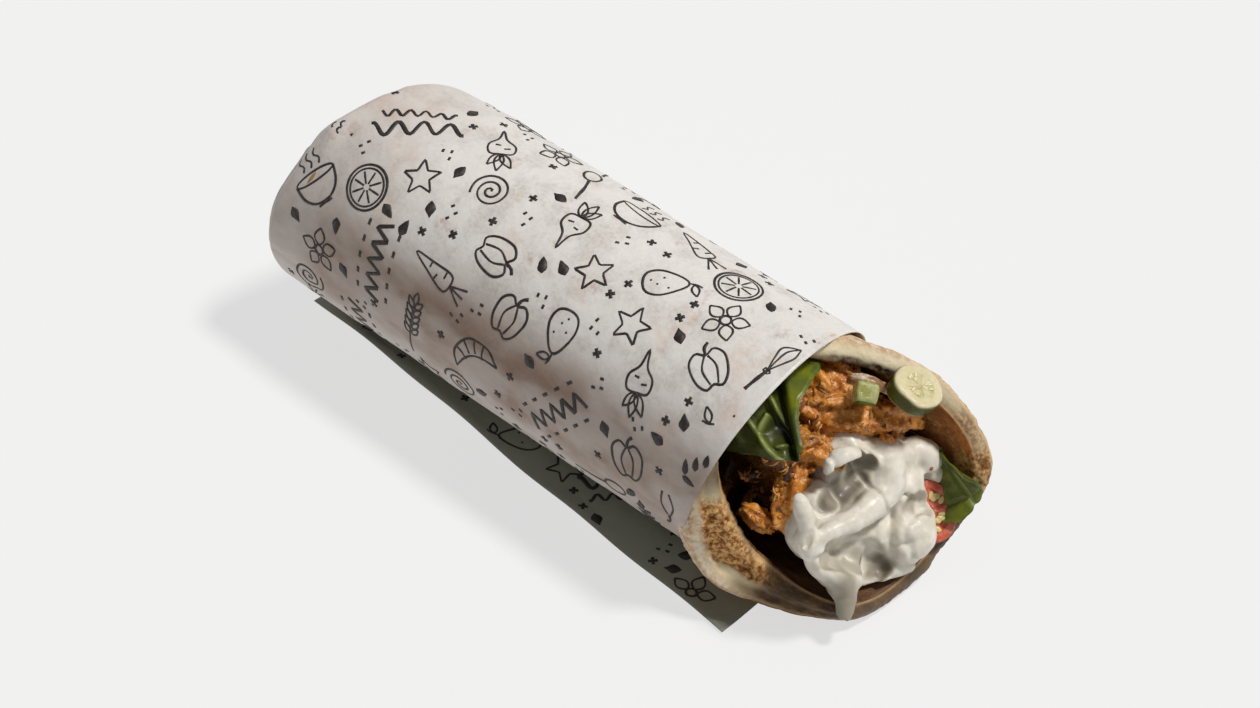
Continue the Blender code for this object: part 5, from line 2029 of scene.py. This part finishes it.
def seed_coat(name, colour):
    """Wet seed coat: pale and smooth, with a little of the fruit's colour showing."""
    material, tree, shader = new_material(name)
    where = add_node(tree, "TexCoord", output="Object")
    mottle = patches(tree, where, 1, 0.35, 0.65, 2, 0.5, 4)
    connect(tree, shader, {
        "Base Color": add_node(tree, "Mix", (mottle, linear(colour), linear("#D9C88C")), **COLOURS),
        "Roughness": add_node(tree, "MapRange", (mottle, 0, 1, 0.25, 0.4), **SMOOTH),
        "Subsurface Weight": 0.2, "Subsurface Radius": (0.8 * MM, 0.6 * MM, 0.3 * MM),
        "Subsurface Scale": 1,
    })
    return material


class GYRO_OT_tomato(bpy.types.Operator):
    """Cut the tomato slice and set its seeds"""

    bl_idname = "gyro.tomato"
    bl_label = "Tomato slice"

    def execute(self, context):
        settings = context.scene.gyro_salad
        place = place_on((84.2, 17.4, 17.4), (0.60, -0.42, 0.68), (0.3, 0.5, 1))
        points, reach, turn = slice_shape(place, 7.9, 4.2, tomato_face, 0.7)
        pocket = ease((reach - 0.24) / 0.08) * ease((0.76 - reach) / 0.08) * ease(
            (np.cos(4 * turn + 0.6) + 0.78) / 0.3
        )
        flesh = fruit_flesh(
            "cut_tomato", linear("#C9583A"), linear(settings.tomato), linear("#A82A12"), 0.16, (
                1.6 * MM, 0.5 * MM, 0.25 * MM
            )
        )
        ends = [0, 0]
        marks = {"reach": np.append(reach.ravel(), ends), "pocket": np.append(pocket.ravel(), ends)}
        make_piece("tomato_slice", sock(points), flesh, ["tomato_slice"], marks)
        pick = np.random.default_rng(21)
        spots = []
        for quarter in range(4):
            for _ in range(5):
                middle = (quarter * 2 * math.pi - 0.6) / 4
                spots.append(
                    (middle + pick.uniform(-0.5, 0.5), pick.uniform(3.0, 6.2), pick.uniform(-0.6, 0.6))
                )
        seeds = slice_seeds(place, 1.75, spots, (1.15, 0.75, 0.35))
        make_piece("tomato_seeds", seeds, seed_coat("tomato_seed_coat", "#E2C27E"))
        return {"FINISHED"}


def cucumber_face(share, angle):
    """A cucumber's cut face: firm wall, and three seed chambers a little sunk."""
    chamber = ease((0.62 - share) / 0.1) * ease((np.cos(3 * angle) + 0.8) / 0.3)
    return -0.22 * chamber + 0.06 * np.sin(7 * angle + 11 * share)


class GYRO_OT_cucumber(bpy.types.Operator):
    """Cut the cucumber slice, its seeds and the small chunk beside it"""

    bl_idname = "gyro.cucumber"
    bl_label = "Cucumber"

    def execute(self, context):
        settings = context.scene.gyro_salad
        flesh = fruit_flesh(
            "cut_cucumber", linear(settings.cucumber), linear("#BFB277"), linear("#4A4A08"), 0.12, (
                1.2 * MM, 1.3 * MM, 0.7 * MM
            )
        )
        place = place_on((76.0, 20.0, 53.0), (0.38, 0.16, 0.91), (0, 0.6, 1))
        points, reach, turn = slice_shape(place, 6.2, 5.2, cucumber_face, 1.1)
        # its rind was not quite round
        _, across, up, _ = place
        points = (
            points + 0.7 * noise(points, 6, 132)[..., None] * across
            + 0.5 * noise(points, 5, 133)[..., None] * up
        )
        pocket = ease((0.62 - reach) / 0.1) * (0.6 + 0.4 * np.cos(3 * turn))
        ends = [0, 0]
        marks = {"reach": np.append(reach.ravel(), ends), "pocket": np.append(pocket.ravel(), ends)}
        make_piece("cucumber_slice", sock(points), flesh, ["cucumber_slice"], marks)
        pick = np.random.default_rng(5)
        spots = []
        for third in range(3):
            for _ in range(6):
                middle = third * 2 * math.pi / 3
                spots.append(
                    (middle + pick.uniform(-0.55, 0.55), pick.uniform(1.6, 3.4), pick.uniform(-0.3, 0.3))
                )
        seeds = slice_seeds(place, 2.4, spots, (0.85, 0.36, 0.22))
        make_piece("cucumber_seeds", seeds, seed_coat("cucumber_seed_coat", "#E9E3BC"))
        chunk, skinned = chunk_shape()
        marks = {"reach": skinned, "pocket": 0.35 + 0 * skinned}
        diced = fruit_flesh(
            "diced_cucumber", linear("#A5A45C"), linear("#7F863A"), linear("#4B5A14"), 0.14, (
                1.2 * MM, 1.3 * MM, 0.7 * MM
            )
        )
        make_piece("cucumber_chunk", chunk, diced, ["cucumber_chunk"], marks)
        return {"FINISHED"}


def chunk_shape():
    """A small diced piece with one side of skin."""
    centre, across, up, out = place_on((68.5, 10.5, 54.2), (0.5, -0.3, 0.8), (0, 0.4, 1))
    body = Block((-4.2, -4.2, -4.2), (4.2, 4.2, 4.2), 0.3)
    p = np.abs(body.points * np.array([1.0, 1.06, 1.0]))
    square = (p**6).sum(-1) ** (1 / 6)
    body.depth = 2.75 - square + 0.22 * noise(body.points, 2.4, 130) + 0.08 * noise(
        body.points, 0.9, 131
    )
    points, faces = body.skin()
    skinned = ease((-points[:, 1] - 1.9) / 0.5) * 1.1
    return (centre + points @ np.array([across, up, out]), faces), skinned


# The cooked onion strip, as x, y, z and radius along it
ONION_STRIP = (
    (62.8, 13.0, 54.0, 0.8), (65.5, 14.8, 53.6, 1.1), (68.5, 16.6, 52.0, 1.2), (71.5, 18.6, 50.0, 1.1),
    (73.2, 19.6, 48.8, 0.7),
)


def fried_onion(settings):
    """Onion cooked soft: see-through and glossy, tan at its edges."""
    material, tree, shader = new_material("fried_onion")
    where = add_node(tree, "TexCoord", output="Object")
    edge = patches(tree, where, 2.2, 0.36, 0.66, 3, 0.6, 2)
    colour = add_node(tree, "Mix", (edge, linear(settings.onion), linear("#8A5F33")), **COLOURS)
    connect(tree, shader, {
        "Base Color": colour, "IOR": 1.4,
        "Roughness": add_node(tree, "MapRange", (edge, 0, 1, 0.2, 0.38), **SMOOTH),
        "Subsurface Weight": 0.4, "Subsurface Radius": (1.2 * MM, 0.9 * MM, 0.5 * MM),
        "Subsurface Scale": 1,
    })
    return material


class GYRO_OT_onion(bpy.types.Operator):
    """Lay the strip of cooked onion"""

    bl_idname = "gyro.onion"
    bl_label = "Onion strip"

    def execute(self, context):
        knots = np.array(ONION_STRIP)
        low, high = knots[:, :3].min(0) - 2.4, knots[:, :3].max(0) + 2.4
        body = Block(low, high, 0.3)
        body.add_strand(knots, 0, 3)
        body.depth += 0.25 * noise(body.points, 2.2, 140)
        make_piece(
            "onion_strip", body.skin(), fried_onion(context.scene.gyro_salad), ["onion_strip"]
        )
        return {"FINISHED"}


# The studio


class StageSettings(bpy.types.PropertyGroup):
    floor: StringProperty(name="Floor", description="Colour of the floor", default="#F2F2F2")
    floor_glow: FloatProperty(
        name="Floor glow", description="The floor's own light", default=0.735
    )
    key: FloatProperty(
        name="Key light", description="Strength of the main light", default=2.75
    )
    key_softness: FloatProperty(
        name="Key softness", description="How wide the main light looks",
        default=math.radians(9), subtype="ANGLE",
    )
    fill: FloatProperty(
        name="Fill light", description="Strength of the light from all round", default=0.24
    )
    azimuth: FloatProperty(
        name="Camera azimuth", description="Round from -Y", default=math.radians(41.5), subtype="ANGLE"
    )
    elevation: FloatProperty(
        name="Camera elevation", description="Above the table", default=math.radians(47), subtype="ANGLE"
    )
    distance: FloatProperty(
        name="Camera distance", description="From its target", default=0.9, unit="LENGTH"
    )
    lens: FloatProperty(name="Lens", description="Focal length in millimetres", default=103)


CAMERA_TARGET = (0.003, 0, 0.03)
KEY_FROM = (0.35, 0.34, 0.94)  # the way to the main light


def studio_floor(settings):
    """Matt painted board: plain and pale, with a trace of roller texture."""
    material, tree, shader = new_material("matt_painted_board")
    where = add_node(tree, "TexCoord", output="Object")
    grain = add_node(tree, "TexNoise", {"Vector": where, "Scale": 1 / (3 * MM), "Detail": 2})
    relief = add_node(tree, "Bump", {"Height": grain, "Strength": 0.02, "Distance": 0.1 * MM})
    connect(tree, shader, {"Base Color": linear("#828282")})
    # lit from below, as a light table, so that shadows on it stay faint
    connect(tree, shader, {
        "Emission Color": linear(settings.floor), "Emission Strength": settings.floor_glow,
        "Roughness": 0.9, "Specular IOR Level": 0.1, "Normal": relief,
    })
    return material


class GYRO_OT_stage(bpy.types.Operator):
    """Set up the floor, the lights and the camera"""

    bl_idname = "gyro.stage"
    bl_label = "Stage"

    def execute(self, context):
        settings = context.scene.gyro_stage
        mesh = bpy.data.meshes.new("floor")
        corners = [(x, y, 0) for x, y in ((-4, -4), (4, -4), (4, 4), (-4, 4))]
        mesh.from_pydata(corners, [], [(0, 1, 2, 3)])
        mesh.materials.append(studio_floor(settings))
        floor = bpy.data.objects.new("floor", mesh)
        context.scene.collection.objects.link(floor)

        lamp = bpy.data.lights.new("key", "SUN")
        lamp.energy = settings.key
        lamp.angle = settings.key_softness
        lamp.color = (1, 0.985, 0.965)
        key = bpy.data.objects.new("key", lamp)
        key.rotation_euler = Vector(KEY_FROM).to_track_quat("Z", "Y").to_euler()
        context.scene.collection.objects.link(key)

        world = bpy.data.worlds.new("studio")
        world.use_nodes = True
        back = world.node_tree.nodes["Background"]
        back.inputs[0].default_value = (0.97, 0.985, 1, 1)
        back.inputs[1].default_value = settings.fill
        context.scene.world = world
        context.scene.view_settings.view_transform = "Standard"

        camera = bpy.data.cameras.new("camera")
        camera.lens = settings.lens
        camera.clip_start = 0.01
        seen_from = bpy.data.objects.new("camera", camera)
        across = math.cos(settings.elevation)
        away = Vector(
            (
                across * math.sin(settings.azimuth),
                -across * math.cos(settings.azimuth),
                math.sin(settings.elevation),
            )
        )
        seen_from.location = Vector(CAMERA_TARGET) + away * settings.distance
        seen_from.rotation_euler = away.to_track_quat("Z", "Y").to_euler()
        context.scene.collection.objects.link(seen_from)
        context.scene.camera = seen_from
        return {"FINISHED"}


# The add-on


SETTINGS = {
    "gyro_paper": PaperSettings,
    "gyro_bread": BreadSettings,
    "gyro_chicken": ChickenSettings,
    "gyro_sauce": SauceSettings,
    "gyro_salad": SaladSettings,
    "gyro_stage": StageSettings,
}
STEPS = (
    GYRO_OT_paper,
    GYRO_OT_print,
    GYRO_OT_bread,
    GYRO_OT_chicken,
    GYRO_OT_leaves,
    GYRO_OT_tomato,
    GYRO_OT_cucumber,
    GYRO_OT_onion,
    GYRO_OT_sauce,
    GYRO_OT_stage,
)


class GYRO_PT_sidebar(bpy.types.Panel):
    """The wrap's pieces and their settings"""

    bl_idname = "GYRO_PT_sidebar"
    bl_label = "Gyro Wrap"
    bl_space_type = "VIEW_3D"
    bl_region_type = "UI"
    bl_category = "Gyro Wrap"

    def draw(self, context):
        for step in STEPS:
            self.layout.operator(step.bl_idname)
        for name in SETTINGS:
            group = getattr(context.scene, name)
            box = self.layout.box()
            for field in group.bl_rna.properties:
                if field.identifier not in ("rna_type", "name"):
                    box.prop(group, field.identifier)


def register():
    for name, group in SETTINGS.items():
        bpy.utils.register_class(group)
        setattr(bpy.types.Scene, name, PointerProperty(type=group))
    for step in (*STEPS, GYRO_PT_sidebar):
        bpy.utils.register_class(step)


def unregister():
    for step in (GYRO_PT_sidebar, *reversed(STEPS)):
        bpy.utils.unregister_class(step)
    for name, group in SETTINGS.items():
        delattr(bpy.types.Scene, name)
        bpy.utils.unregister_class(group)


def main():
    register()
    for step in STEPS:
        group, call = step.bl_idname.split(".")
        getattr(getattr(bpy.ops, group), call)()
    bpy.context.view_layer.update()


if __name__ == "__main__":
    main()
